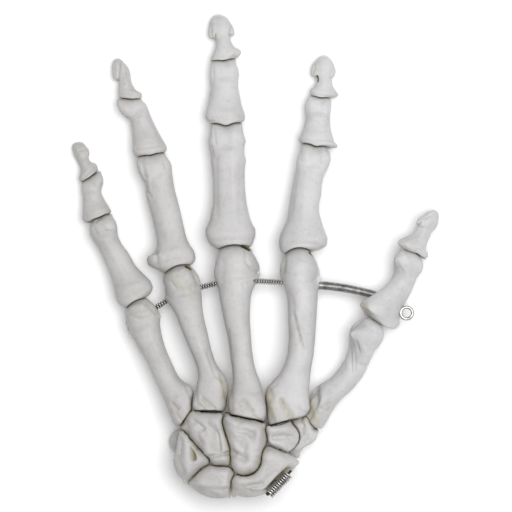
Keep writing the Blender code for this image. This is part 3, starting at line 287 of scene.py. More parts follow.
def meshed(name, points, faces):
    """A smooth object of these points and faces, with its faces turned outwards."""
    mesh = bpy.data.meshes.new(name)
    mesh.from_pydata(points.tolist(), [], faces)
    work = bmesh.new()
    work.from_mesh(mesh)
    bmesh.ops.recalc_face_normals(work, faces=work.faces)
    work.to_mesh(mesh)
    work.free()
    mesh.shade_smooth()
    bone = bpy.data.objects.new(name, mesh)
    bpy.context.scene.collection.objects.link(bone)
    return bone


def each_point(values, key):
    """A vector per point of a mesh, as the rows of an array."""
    rows = np.empty(len(values) * 3)
    values.foreach_get(key, rows)
    return rows.reshape(-1, 3)


def points_of(bone):
    return each_point(bone.data.vertices, "co")


def normals_of(bone):
    return each_point(bone.data.vertex_normals, "vector")


def carve(bone, marks):
    """Ridges (height above 0) and hollows, in millimetres, along lines drawn on the photograph.

    A hollow is painted darker the deeper it is, as painted shade; a seventh number, where given,
    sets its dirt and painted shade instead."""
    points, normals = points_of(bone), normals_of(bone)
    shown = np.clip(normals[:, 2] * TOP_SIDE, 0, 1)
    soil_and_shade = np.zeros(len(points))
    for x1, y1, x2, y2, reach, height, *dirt_and_shade in marks:
        a, b = np.array(plan(x1, y1)), np.array(plan(x2, y2))
        run = b - a
        span = max(run @ run, 1e-12)
        share = np.clip((points[:, :2] - a) @ run / span, 0, 1)
        away = np.linalg.norm(points[:, :2] - a - share[:, None] * run, axis=1) / (reach * PIXEL)
        form = np.exp(-away ** 2) * shown
        points += normals * (height * 0.001 * form)[:, None]
        # a hollow is painted darker the deeper it is, as painted shade
        held = min(max(-height, 0) * HOLLOW_SHADE[0], HOLLOW_SHADE[1]) / max(reach, 1.0)
        soil_and_shade = np.maximum(soil_and_shade, (dirt_and_shade[0] if dirt_and_shade else held) * form ** 1.5)
    bone.data.vertices.foreach_set("co", points.ravel())
    bone.data.update()
    return soil_and_shade


def roughen(bone, coarse, fine, seed):
    """Uneven surface of a cast bone: soft lumps a few millimetres wide and small pits."""
    points, normals = points_of(bone), normals_of(bone)
    shift = Vector((seed * 3.1, seed * 1.7, seed * 0.9))
    lift = np.empty(len(points))
    for i, point in enumerate(points):
        spot = Vector(point) + shift
        lump = noise.noise(spot * LUMPS[0]) + 0.5 * noise.noise(spot * LUMPS[1])
        lift[i] = coarse * lump + fine * noise.noise(spot * PITS)
    points += normals * lift[:, None]
    bone.data.vertices.foreach_set("co", points.ravel())
    bone.data.update()


def linear(colour):
    """sRGB hex colour as the linear numbers that a shader takes."""
    parts = [int(colour[i:i + 2], 16) / 255 for i in (1, 3, 5)]
    return [p / 12.92 if p <= 0.04045 else ((p + 0.055) / 1.055) ** 2.4 for p in parts] + [1.0]


def add_node(tree, kind, settings=None, inputs=None, stops=()):
    """A node with its settings; inputs are values, or sockets to link from, and stops are the
    places and colours on a ramp."""
    node = tree.nodes.new(kind)
    for key, value in (settings or {}).items():
        setattr(node, key, value)
    for key, value in (inputs or {}).items():
        if isinstance(value, bpy.types.NodeSocket):
            tree.links.new(value, node.inputs[key])
        else:
            node.inputs[key].default_value = value
    for _ in stops[2:]:
        node.color_ramp.elements.new(0.5)
    for k, (spot, colour) in enumerate(stops):
        node.color_ramp.elements[k].position = spot
        node.color_ramp.elements[k].color = linear(colour)
    return node


def new_finish(name):
    finish = bpy.data.materials.new(name)
    finish.use_nodes = True
    finish.node_tree.nodes.clear()
    return finish, finish.node_tree


PVC_TONES = ((0.32, "#C1C0C0"), (0.5, "#C9C8C9"), (0.68, "#CFCFD0"))
PVC_SPECKS = ((0.32, "#D8D5CC"), (0.46, "#FFFFFF"))
SPECK_SHARE = 0.28
# painted light falloff: the side away from the lamp is painted greyer
PVC_LAMP_FALLOFF = ((0.0, "#EAE9E6"), (1.0, "#FFFFFF"))
LAMP_FALLOFF_WAY, LAMP_FALLOFF_RUN = (0.8, 0.35, 0.0), (-0.048, 0.030)   # painted light falloff, greyer away from the lamp: from the heel inwards, in metres
# Brown dirt going over to painted shade: the darkest stops, near black, are painted shade deep in
# the seams
DIRT_AND_SHADE_COLOURS = ((0.0, "#FFFFFF"), (0.22, "#EFEBDA"), (0.45, "#B9AF8C"), (0.68, "#6B5F42"),
                (1.0, "#1F1A12"))
DIRT_AND_SHADE_PATCHES = (-0.35, 1.17)         # the specks thin the dirt and painted shade and thicken it by this much


def cast_finish():
    """Unpainted cast PVC: a warm grey-white, matt, faintly oily, with brown dirt in its joints
    that deepens to painted shade.

    Clouds of tone are 10 mm wide, specks 1.5 mm, the grain of the mould 0.4 mm. The side away
    from the lamp, the heel of the hand at the little finger's side, is a shade greyer: painted
    shade."""
    finish, tree = new_finish("cast_pvc_bone")
    place = add_node(tree, "ShaderNodeTexCoord").outputs["Object"]
    cloud, speck, grain = (
        add_node(tree, "ShaderNodeTexNoise", None,
                 {"Vector": place, "Scale": scale, "Detail": detail, "Roughness": rough})
        .outputs["Fac"]
        for scale, detail, rough in ((100.0, 4.0, 0.55), (650.0, 3.0, 0.6), (2400.0, 3.0, 0.6)))
    # painted shade that grows away from the lamp, towards the heel
    toward_lamp = add_node(tree, "ShaderNodeVectorMath", {"operation": "DOT_PRODUCT"},
                         {0: place, 1: LAMP_FALLOFF_WAY}).outputs["Value"]
    lamp_falloff = add_node(tree, "ShaderNodeMapRange", None,
                       {"Value": toward_lamp, "From Min": LAMP_FALLOFF_RUN[0], "From Max": LAMP_FALLOFF_RUN[1]})
    # Dirt and painted shade, written on each point further down
    dirt_and_shade = add_node(tree, "ShaderNodeAttribute", {"attribute_name": "dirt_and_shade"}).outputs["Fac"]
    patchy = add_node(tree, "ShaderNodeMath", {"operation": "MULTIPLY_ADD"},
                      {0: speck, 1: DIRT_AND_SHADE_PATCHES[0], 2: DIRT_AND_SHADE_PATCHES[1]})
    dirt_and_shade_level = add_node(tree, "ShaderNodeMath", {"operation": "MULTIPLY", "use_clamp": True},
                       {0: dirt_and_shade, 1: patchy.outputs["Value"]})
    colour = add_node(tree, "ShaderNodeValToRGB", None, {"Fac": cloud},
                      PVC_TONES).outputs["Color"]
    # Specks, the painted light falloff, and the dirt with its painted shade, multiplied over the
    # tone
    for share, source, stops in ((SPECK_SHARE, speck, PVC_SPECKS),
                                 (1.0, lamp_falloff.outputs["Result"], PVC_LAMP_FALLOFF),
                                 (1.0, dirt_and_shade_level.outputs["Value"], DIRT_AND_SHADE_COLOURS)):
        layer = add_node(tree, "ShaderNodeValToRGB", None, {"Fac": source}, stops)
        colour = add_node(tree, "ShaderNodeMix",
                          {"data_type": "RGBA", "blend_type": "MULTIPLY"},
                          {"Factor": share, 6: colour, 7: layer.outputs["Color"]}).outputs[2]
    wave = add_node(tree, "ShaderNodeBump", None,
                    {"Strength": 0.35, "Distance": 0.0003, "Height": speck})
    bump = add_node(tree, "ShaderNodeBump", None,
                    {"Strength": 0.3, "Distance": 0.0001, "Height": grain,
                     "Normal": wave.outputs["Normal"]})
    sheen = add_node(tree, "ShaderNodeMapRange", None,
                     {"Value": speck, "To Min": 0.44, "To Max": 0.62})
    shader = add_node(tree, "ShaderNodeBsdfPrincipled", None,
                      {"Base Color": colour, "Roughness": sheen.outputs["Result"],
                       "IOR": 1.46, "Normal": bump.outputs["Normal"]})
    add_node(tree, "ShaderNodeOutputMaterial", None, {"Surface": shader.outputs["BSDF"]})
    return finish


CAST_PVC = cast_finish()


def finish_cast(bone, body, node, marks=(), coarse=0.00006, fine=0.00002, seam_shade=0.0):
    """Marks and unevenness of the casting, its material, and the body that it moves with."""
    # dirt and painted shade of its marks, and the painted shade deep in its seams
    SOIL_AND_SHADE[bone.name] = np.maximum(carve(bone, marks), seam_shade)
    roughen(bone, coarse, fine, 1.0 + len(CASTS))
    bone.data.materials.clear()
    bone.data.materials.append(CAST_PVC)
    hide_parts(node)
    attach(bone, body)
    CASTS.append(bone)


def joint_shape(radius, depth, crown, groove=0.0, groove_width=0.002, tilt=0.0, cup=0.45,
                ball=0.0):
    """Rounded end that a joint turns on: its reach from the hinge along the bone, its half
    thickness, how fast it falls off to the sides, the dip between its condyles, its slant."""
    return {"radius": radius, "depth": depth, "crown": crown, "groove": groove,
            "groove_width": groove_width, "tilt": tilt, "cup": cup, "ball": ball}


FINGERS = ("index", "middle", "ring", "little")
KNUCKLES = {"index": joint_shape(0.0077, 0.0070, 1.0),
            "middle": joint_shape(0.0079, 0.0075, 0.78),
            "ring": joint_shape(0.0069, 0.0066, 0.85),
            "little": joint_shape(0.0064, 0.0059, 0.80)}
METACARPAL_ROWS = {
    "index": (
        (268, 425, 305, 415.5), (266.8, 416, 309.5, 408), (266.3, 406, 309, 400),
        (265, 396, 308.8, 392), (266.3, 388.5, 309.2, 384.5), (271.5, 381.8, 310, 377),
        (277.5, 375.3, 310.9, 369), (282, 369, 312.3, 361), (285.5, 360, 313.6, 353),
        (287.6, 350.5, 314.6, 343), (288.5, 340, 315.5, 332), (288.5, 329, 316.1, 321),
        (288.2, 317, 316.8, 310), (288.1, 306, 317.4, 299), (287, 296, 317.9, 290.5),
        (284.8, 287.8, 319.3, 284.5), (281.9, 281.8, 320.4, 278), (280, 274, 319.4, 270.5),
        (280.2, 265.5, 317, 263), (282, 258, 313.9, 257), (285.5, 252.3, 310.8, 252.7)),
    "middle": (
        (230, 414.2, 264.5, 421.3), (228.2, 407, 266.5, 411), (228.4, 399, 265.2, 402),
        (231, 392, 263.3, 393), (232.6, 385, 261.3, 385), (232.8, 377, 258.6, 377),
        (232.2, 368, 255.5, 369), (230.9, 359, 253.5, 359), (229.6, 348, 252, 348),
        (228, 338, 251.1, 337), (225.8, 328, 250.4, 327), (223.8, 319, 250, 317),
        (221.9, 309, 250.2, 307), (220, 299, 250.9, 298), (218.7, 290, 253, 290),
        (216.7, 283, 255.6, 284), (214.4, 277.5, 259.6, 276.5), (213.9, 271.5, 260.3, 270.5),
        (215.3, 265, 259, 264.5), (217.3, 258, 256.2, 258), (219, 252.5, 253, 253)),
    "ring": (
        (195, 410.4, 224, 410.8), (193, 405, 226.6, 404.5), (193.6, 400, 227.2, 398),
        (195, 394.5, 228.4, 391), (196, 389, 228.5, 385), (197.2, 383.5, 226.8, 379),
        (198.5, 377, 223.5, 372.8), (198, 370, 218.8, 367.3), (195.8, 363, 215.2, 361),
        (192.6, 355.5, 212.6, 353.5), (189, 347, 210.4, 345), (185.6, 339, 208.7, 337),
        (182.4, 331.5, 206.9, 329.5), (179.4, 324, 205, 322), (176.4, 316, 203.4, 314),
        (172.7, 309, 202.5, 306), (168.5, 303.3, 201.9, 299), (165.6, 298.5, 201.5, 293),
        (165.5, 292, 201.3, 286.5), (165.6, 287, 200.2, 280.5), (163, 281, 198, 275),
        (163, 275.5, 194.8, 270.3), (164.3, 271.8, 191.8, 267)),
    "little": (
        (180, 425.8, 192.5, 409.5), (174.5, 423.5, 192.5, 403.5), (171.8, 419, 193.2, 397),
        (169.4, 412.5, 193.5, 391), (166.8, 406, 191, 386), (164.5, 399.5, 186, 382.8),
        (161.3, 392.5, 181.8, 379.8), (158, 385.3, 178.5, 375.8), (154.7, 378.5, 175.7, 371),
        (151.3, 371.5, 172.8, 364.7), (147.8, 363.8, 169.8, 358), (144, 356.5, 167, 351.5),
        (139.8, 350.3, 164.6, 345), (136.6, 345, 162.8, 339), (134.3, 339.5, 161.3, 333),
        (131.5, 335.6, 160.4, 327), (128, 332.3, 159.9, 321.5), (127.3, 327, 160.5, 316.5),
        (126.2, 320, 158.9, 312.3), (125.4, 313, 156.2, 307.3), (125.7, 308.5, 152.5, 303),
        (127.5, 304.5, 148.5, 299.5)),
}
METACARPAL_DEPTHS = {"index": (0.0122, 0.0094), "middle": (0.0146, 0.0096),
                     "ring": (0.0124, 0.0086), "little": (0.0106, 0.0080)}
METACARPAL_START = -0.002            # where its heights begin, from the middle of its base
METACARPAL_FLARE = ((0.0, 0.92), (0.08, 1.0), (0.2, 0.62), (0.32, 0.14), (0.48, 0.0),
                    (0.66, 0.0))
METACARPAL_CORNERS = (0.60, 0.88)
BASE_PIN_RISE = 0.0018               # the pin in a base lies this far above its middle
DEPTH_SHARES = ((0.52, 0.58), (0.48, 0.42))   # of base and waist: to the back, to the palm
NECK = (1.42, 0.84, 0.60)            # behind the hinge, back and palm of a neck, in radii,
COLLAR = (0.80, 0.97, 0.90)          # and where the head begins

# Marks that the cast has from its original: ridges, pits and facets, as (from x, y, to x, y,
# reach in pixels, millimetres up or down, and the dirt and painted shade in it where that isn't
# the usual)
METACARPAL_MARKS = {
    "index": (
        (284.5, 256, 283.2, 272, 2.0, -0.5, 0.08),
        (310, 252.5, 315, 256.5, 1.4, -0.2, 0.95), (312.5, 251, 318.5, 268, 1.3, -0.41),
        (300, 258, 306, 262, 1.1, -0.2), (300, 264, 308, 261, 1.1, 0.16),
        (291, 296, 294, 318, 2.8, -0.35), (294, 318, 299, 337, 2.8, -0.45),
        (299, 337, 304, 354, 2.4, -0.3), (296, 312, 300, 328, 1.9, 0.34),
        (300, 328, 305, 346, 1.9, 0.41), (280.5, 399, 289.5, 416, 2.4, -1.4, 0.3),
        (272, 404, 277, 418, 3.0, 0.7),
        (269, 388, 272, 396, 1.9, -0.34), (286, 403, 297, 412, 3.6, 0.5),
        (269, 390, 273, 416, 5, 0, 0.2),
        (300, 405, 306, 412, 1.9, -0.47), (272, 386, 277, 383, 1.2, -0.34),
        (303, 385, 304, 400, 3.6, 0.2)),
    "middle": (
        (245, 250, 246.5, 262, 1.4, -0.4),
        (242, 246, 249.5, 250, 1.5, -0.2, 0.95), (246.5, 262, 250.5, 268, 1.3, -0.54),
        (250.5, 268, 258, 272.5, 1.3, -0.47), (240, 276, 241, 277, 1.3, -0.41),
        (243, 284, 244, 286, 1.3, -0.41), (256, 281, 256.6, 281.6, 1.6, -1.22, 0.9),
        (240, 256, 240, 280, 3.6, 0.2), (224, 258, 222, 285, 2.6, -0.2),
        (243, 399, 247, 404, 1.9, -1.0, 0.2), (246, 405, 252, 409, 1.9, -0.9, 0.15),
        (239, 404, 244, 410, 1.8, -0.7), (250, 413, 261, 420, 2.6, -0.7),
        (230, 392, 230, 412, 4, 0, 0.16),
        (232, 392, 232, 410, 1.7, -0.27), (236, 360, 238, 396, 3.6, 0.2),
        (247, 330, 248, 372, 2.9, 0.2), (244, 392, 256, 398, 2.9, 0.27),
        (228, 330, 232, 378, 1.9, -0.27)),
    "ring": (
        (176, 275, 187, 282, 1.3, -0.41), (187, 282, 193, 288, 1.3, -0.34),
        (172, 283, 176, 288, 1.4, -0.41), (180, 271, 186, 268, 1.4, 0.2),
        (192, 268, 199, 284, 2.2, -0.6, 0.06),
        (186, 266.5, 192, 269, 1.4, -0.2, 0.9), (187, 272, 194, 288, 1.4, 0.27),
        (176, 292, 188, 294, 2.4, -0.2), (203, 397, 208, 403, 1.9, -1.0, 0.18),
        (208, 403, 215, 408, 1.9, -0.8), (198, 403, 204, 407, 1.8, -0.7),
        (196, 386, 197, 404, 1.7, -0.34), (215, 378, 224, 386, 2.4, 0.41),
        (222, 376, 227, 396, 2.4, -0.6),
        (223, 380, 226, 402, 5, 0, 0.2), (172, 275, 190, 290, 9, 0, 0.10),
        (198, 340, 210, 372, 3.0, 0.27),
        (208, 352, 216, 376, 1.7, -0.34)),
    "little": (
        (129, 314, 139, 319, 1.8, -0.3), (139, 319, 152, 316, 1.8, -0.28),
        (129, 322, 156, 321, 2.2, -0.2), (147, 303, 156, 312, 3.0, -0.5, 0.06),
        (132, 307, 142, 305, 2.4, 0.27), (136, 311, 146, 310, 1.8, -0.2),
        (160, 315, 160.6, 317, 1.4, 0.47), (126.8, 316, 127.5, 330, 1.4, -0.47),
        (133, 336, 141, 350, 1.7, -0.41), (150, 335, 165, 365, 3.0, 0.2),
        (172, 403, 178, 408, 1.9, -0.9, 0.12), (166, 398, 171, 412, 1.8, -0.41),
        (176, 412, 182, 420, 1.7, -0.47), (178, 398, 186, 410, 2.6, 0.41),
        (186, 384, 192, 398, 1.9, -0.41)),
}


def flared(base, waist, start, length, flare):
    """Heights from base to waist; flare holds (share of the way, share of the base's depth)."""
    return [(start + (length - start) * share,
             *(waist * slim + (base * wide - waist * slim) * deep
               for wide, slim in DEPTH_SHARES)) for share, deep in flare]


def shaft_heights(base, waist, start, length, radius, flare):
    """Back and palm of a bone from its base to the middle of its head."""
    low = flared(base, waist, start, length, flare)
    back, palm = low[-1][1:]
    return low + [(length - NECK[0] * radius, max(NECK[1] * radius, (back + radius) / 2),
                   max(NECK[2] * radius, (palm + COLLAR[2] * radius) / 2)),
                  (length - COLLAR[0] * radius, COLLAR[1] * radius, COLLAR[2] * radius),
                  (length, radius, radius)]


for finger in FINGERS:
    knuckle, flexion = HINGES[finger + "_mcp"]
    low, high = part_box(finger + "_base_pin")
    base = (low + high) / 2
    along = knuckle - base
    level = Vector((along.y, -along.x, 0.0))
    base -= level.cross(along).normalized() * BASE_PIN_RISE
    own = bone_axes(base, knuckle - base, level)
    reach = HINGES[finger + "_pip"][0] - knuckle
    shape = dict(KNUCKLES[finger], along=(knuckle - base).length,
                 axes=bone_axes(knuckle, reach, -flexion))
    heights = shaft_heights(*METACARPAL_DEPTHS[finger], METACARPAL_START, shape["along"],
                            shape["depth"], METACARPAL_FLARE)
    bone = cast_bone(finger + "_metacarpal_cast", own, METACARPAL_ROWS[finger], heights,
                     head=shape, corners=METACARPAL_CORNERS)
    finish_cast(bone, "palm", finger + "_metacarpal", METACARPAL_MARKS[finger])

# ---------------------------------------------------------------------------------------------
# Phalanges of the fingers: cast like the metacarpals. Each base is hollowed to turn on the head
# behind it, heads have two condyles with a groove between them, and the last bones end in the
# rough spread tuft that carries the nail.

PHALANX_JOINTS = {
    "index_pip": joint_shape(0.0053, 0.0047, 0.35, 0.0007, 0.0018, tilt=-0.06),
    "index_dip": joint_shape(0.0038, 0.0029, 0.22, 0.0004, 0.0016),
    "middle_pip": joint_shape(0.0060, 0.0050, 0.30, 0.0011, 0.0024),
    "middle_dip": joint_shape(0.0043, 0.0032, 0.15, 0.0004, 0.0018),
    "ring_pip": joint_shape(0.0055, 0.0047, 0.35, 0.0004, 0.0018, tilt=-0.18),
    "ring_dip": joint_shape(0.0037, 0.0031, 0.22, 0.0002, 0.0015, tilt=-0.38),
    "little_pip": joint_shape(0.0046, 0.0043, 0.45, 0.0002, 0.0016, tilt=0.12),
    "little_dip": joint_shape(0.0034, 0.0027, 0.20, 0.0002, 0.0014, tilt=0.29),
}
PROXIMAL_ROWS = {
    "index": (
        (284, 252.2, 312, 254.8), (280.8, 249.5, 320, 252.2), (279.3, 243.5, 326.5, 246.5),
        (279.3, 239, 327.3, 240.5), (281, 233.5, 325.9, 234.5), (284, 227, 323.3, 227.5),
        (286.8, 220, 320.9, 219.5), (288.5, 212, 319, 211), (289.9, 203, 319.4, 203),
        (291.3, 193.5, 321.2, 194), (293.4, 182.5, 321.9, 184), (295, 173.5, 324, 176),
        (296.6, 165, 327.8, 168.3), (297.6, 158.5, 330.7, 160.5), (299, 154, 330.3, 154.5),
        (301, 149.5, 328, 150)),
    "middle": (
        (217, 249.8, 250, 248.3), (211.5, 246, 252.6, 245), (208, 241, 253.8, 241),
        (205.8, 234.5, 255.6, 235), (205.7, 230, 255.4, 230), (208, 224.5, 252.8, 225),
        (210.2, 219, 250.2, 219), (211.6, 212, 248.3, 212), (212.9, 204, 246.8, 204),
        (213.3, 195, 245.6, 195), (213.3, 185, 244.8, 185), (212.6, 176, 244.6, 176),
        (211.9, 168, 244.9, 167), (211.2, 158, 245.9, 160), (210.3, 152, 244.2, 154),
        (208.7, 146, 244.2, 146.5), (208.3, 142, 245.9, 141.5), (209.6, 137, 244.3, 136.5),
        (210.6, 133, 243, 132.5), (211.5, 127.5, 242.3, 127)),
    "ring": (
        (164, 271.8, 191.5, 266.3), (158, 268.6, 194.8, 263), (151.2, 265.8, 195.8, 259.8),
        (147.6, 263, 195.6, 257), (146.7, 259.5, 194.8, 253.5), (148, 256.4, 193.4, 250),
        (152, 254.6, 191.8, 247.6),
        (156.6, 248.5, 189.5, 244), (157.3, 243, 187.2, 239.5), (156, 234, 184.9, 231.5),
        (154, 225, 182.7, 222), (151.8, 215.5, 180.4, 211.5), (149, 206, 178, 202),
        (146.8, 197.5, 175.9, 194), (145.8, 192, 174.4, 188), (145.8, 187.5, 173.5, 183),
        (144.4, 182, 172.7, 177.5), (141.5, 177.3, 172.1, 172), (138.6, 172.5, 171.8, 167),
        (137.3, 167, 170.6, 163), (137.4, 162.5, 168.2, 159), (139.5, 158.5, 165.8, 155.5)),
    "little": (
        (126, 308, 146, 298.3), (121.5, 306, 149.7, 295.3), (118, 303, 152.2, 291.3),
        (116.3, 298.5, 152.7, 286.5), (115.2, 293.5, 150.8, 281.8), (113.9, 288, 147, 277.5),
        (112.3, 281.5, 142, 272.5), (110.3, 274.5, 137.3, 267.8), (107.7, 268, 133.6, 262.8),
        (104.8, 261.5, 130.7, 257), (101.8, 255, 127.6, 252), (98.8, 249, 124, 247.5),
        (95.6, 244, 120.6, 242.3), (92.6, 239.8, 118.3, 237.3), (90.5, 235, 117.2, 232),
        (89.4, 230, 116.9, 227), (89.8, 225.5, 115.7, 222), (92.5, 221.5, 112.5, 217.8)),
}
MIDDLE_ROWS = {
    "index": (
        (301, 149.5, 331, 149.3), (298.5, 146, 337.5, 148.3), (298, 142, 337, 145.3),
        (298.4, 139.5, 334.2, 142), (300, 136.5, 333.5, 139), (302.5, 131.5, 332, 134.5),
        (304.3, 127, 330.8, 129.5), (305.6, 121, 330.2, 123), (305.9, 115, 330, 116),
        (305.2, 109.5, 330.9, 109), (305.2, 105.5, 331.3, 104), (306.5, 101, 331, 100),
        (308.6, 97.5, 329, 97)),
    "middle": (
        (210.5, 126.5, 241.8, 126.3), (207, 122.5, 244.3, 123), (205, 117.5, 245, 118.5),
        (205.6, 113, 244.5, 114), (207.3, 107, 242.6, 108), (208.8, 100, 240.5, 100),
        (209.8, 94, 239, 93), (210.8, 88, 238, 88), (210.6, 80, 238.2, 80),
        (210.2, 73, 239, 73.5), (210.5, 67, 238.2, 69), (212, 62.5, 236, 64.5)),
    "ring": (
        (138, 159.2, 165, 152.8), (134.3, 156.5, 166.7, 150.3), (133, 152, 166.6, 147),
        (133, 146.5, 164.2, 142.5), (132.8, 140, 161, 137), (132.5, 133, 158, 131.5),
        (131.6, 126, 155, 125.5), (130.6, 121.5, 152.6, 120.5), (128.5, 118.2, 150.5, 116),
        (124.5, 115.3, 148.9, 112), (120.8, 112, 147.7, 108.5), (118.3, 108, 146.2, 105),
        (118.4, 103.8, 144, 102), (120, 100.5, 141.5, 99.5)),
    "little": (
        (87.5, 225.8, 110.5, 216), (84, 223.5, 111.4, 213.3), (82.4, 219.5, 110.7, 210.3),
        (82.5, 214.5, 108.6, 206.8), (82.8, 208, 105.6, 202), (83, 201.5, 102.8, 197),
        (82.9, 196, 101, 193), (82, 191.8, 100.5, 189.5), (81, 188, 101.2, 186),
        (80.8, 185, 102.6, 182.5), (81.3, 182, 102.9, 179), (83, 179.5, 101.5, 175.8)),
}
DISTAL_ROWS = {
    "index": (
        (311.5, 96.2, 331, 98.8), (310, 93.5, 336, 97.5), (310, 90.2, 338.6, 95),
        (312, 88.3, 337, 92), (314.8, 86, 334.5, 88.8), (316.3, 83, 332.7, 85),
        (316.8, 79.5, 332, 81), (316, 77.5, 331.8, 79), (313.5, 78, 333, 79.2),
        (311.5, 75, 334.8, 75.5), (311.2, 71, 335.8, 71), (312, 66, 334.8, 66),
        (314, 62.5, 333, 62), (317, 59, 331, 59), (320, 56.3, 328.5, 56.3),
        (323.5, 54.8, 326, 54.8)),
    "middle": (
        (210.5, 60, 235.5, 58.5), (211, 57.5, 240, 54.5), (213, 54.5, 241, 51.5),
        (214.3, 51, 239.5, 49.5), (215.2, 48, 234, 46.5), (215.8, 44.5, 231.5, 42),
        (215.9, 41.5, 230, 38.5), (215.6, 39.2, 229.8, 36.8), (212.8, 40.9, 232.3, 37),
        (209.3, 37.5, 234.5, 34), (208.2, 31.5, 234.2, 30), (209, 25, 232.8, 26),
        (210.2, 20, 230.2, 22), (212.5, 16.5, 227.5, 17.8), (216, 14.2, 223.5, 15),
        (218.5, 13.6, 220.5, 13.8)),
    "ring": (
        (120.5, 98.2, 140.5, 99), (118.8, 96, 141.6, 96.8), (118, 93, 141.7, 94),
        (118.1, 90, 139.5, 92.2), (118.5, 87, 136, 90.2), (118.7, 84, 133.3, 86.7),
        (118.7, 81.8, 131.7, 83.3), (118, 80, 130.7, 80), (115.5, 79.9, 130.4, 76.5),
        (113.2, 78, 129.9, 73.5), (112.2, 73.5, 129, 70), (111.9, 69, 127.8, 67),
        (112.1, 64, 125, 63.7), (113.2, 60.5, 122.3, 60.9), (115.5, 58.5, 119.8, 58.7),
        (117, 58, 118.2, 58)),
    "little": (
        (81.5, 183.2, 96.3, 172.8), (79.2, 181.8, 97.7, 169.8), (78.6, 178.8, 96.9, 166.3),
        (79.7, 175.5, 95, 163.5), (80.3, 171.5, 92.3, 162.8), (79.9, 167.5, 90, 161.5),
        (78.6, 163.8, 88.4, 158.8), (76.6, 160.2, 88.2, 156), (74.6, 157, 88.8, 153.5),
        (73, 153.5, 88.8, 151), (72, 149.5, 87.8, 148.6), (71.8, 146.2, 85.7, 146.2),
        (72.8, 143.7, 83.9, 144), (75.2, 142.3, 82.2, 142.4), (77.8, 141.8, 80.3, 141.7)),
}
PROXIMAL_DEPTHS = {"index": (0.0128, 0.0078), "middle": (0.0134, 0.0082),
                   "ring": (0.0120, 0.0076), "little": (0.0104, 0.0066)}
MIDDLE_DEPTHS = {"index": (0.0098, 0.0060), "middle": (0.0102, 0.0064),
                 "ring": (0.0098, 0.0060), "little": (0.0088, 0.0052)}
# Last bones: length, height of the tip above the table, heading from +Y, depths of base, waist
# and tuft
DISTAL_SIZES = {"index": (0.0196, 0.0022, 6.3, 0.0066, 0.0046, 0.0044),
                "middle": (0.0215, 0.0022, -5.2, 0.0070, 0.0048, 0.0046),
                "ring": (0.0198, 0.0022, -19.5, 0.0066, 0.0046, 0.0044),
                "little": (0.0173, 0.0019, -17.0, 0.0060, 0.0042, 0.0038)}
PHALANX_FLARE = ((0.0, 0.9), (0.06, 1.0), (0.14, 0.92), (0.26, 0.56), (0.40, 0.22),
                 (0.57, 0.0), (0.74, 0.0))
END_FLARE = ((0.0, 0.9), (0.05, 1.0), (0.15, 0.86), (0.30, 0.40), (0.43, 0.0))
END_CORNERS = (0.78, 0.92)
TUFT_FORM = ((0.57, 0.92), (0.72, 1.0), (0.86, 0.84), (0.95, 0.58), (0.99, 0.3), (1.0, 0.12))
TUFT_SHARES = (0.55, 0.45)           # of its depth to the back and to the palm

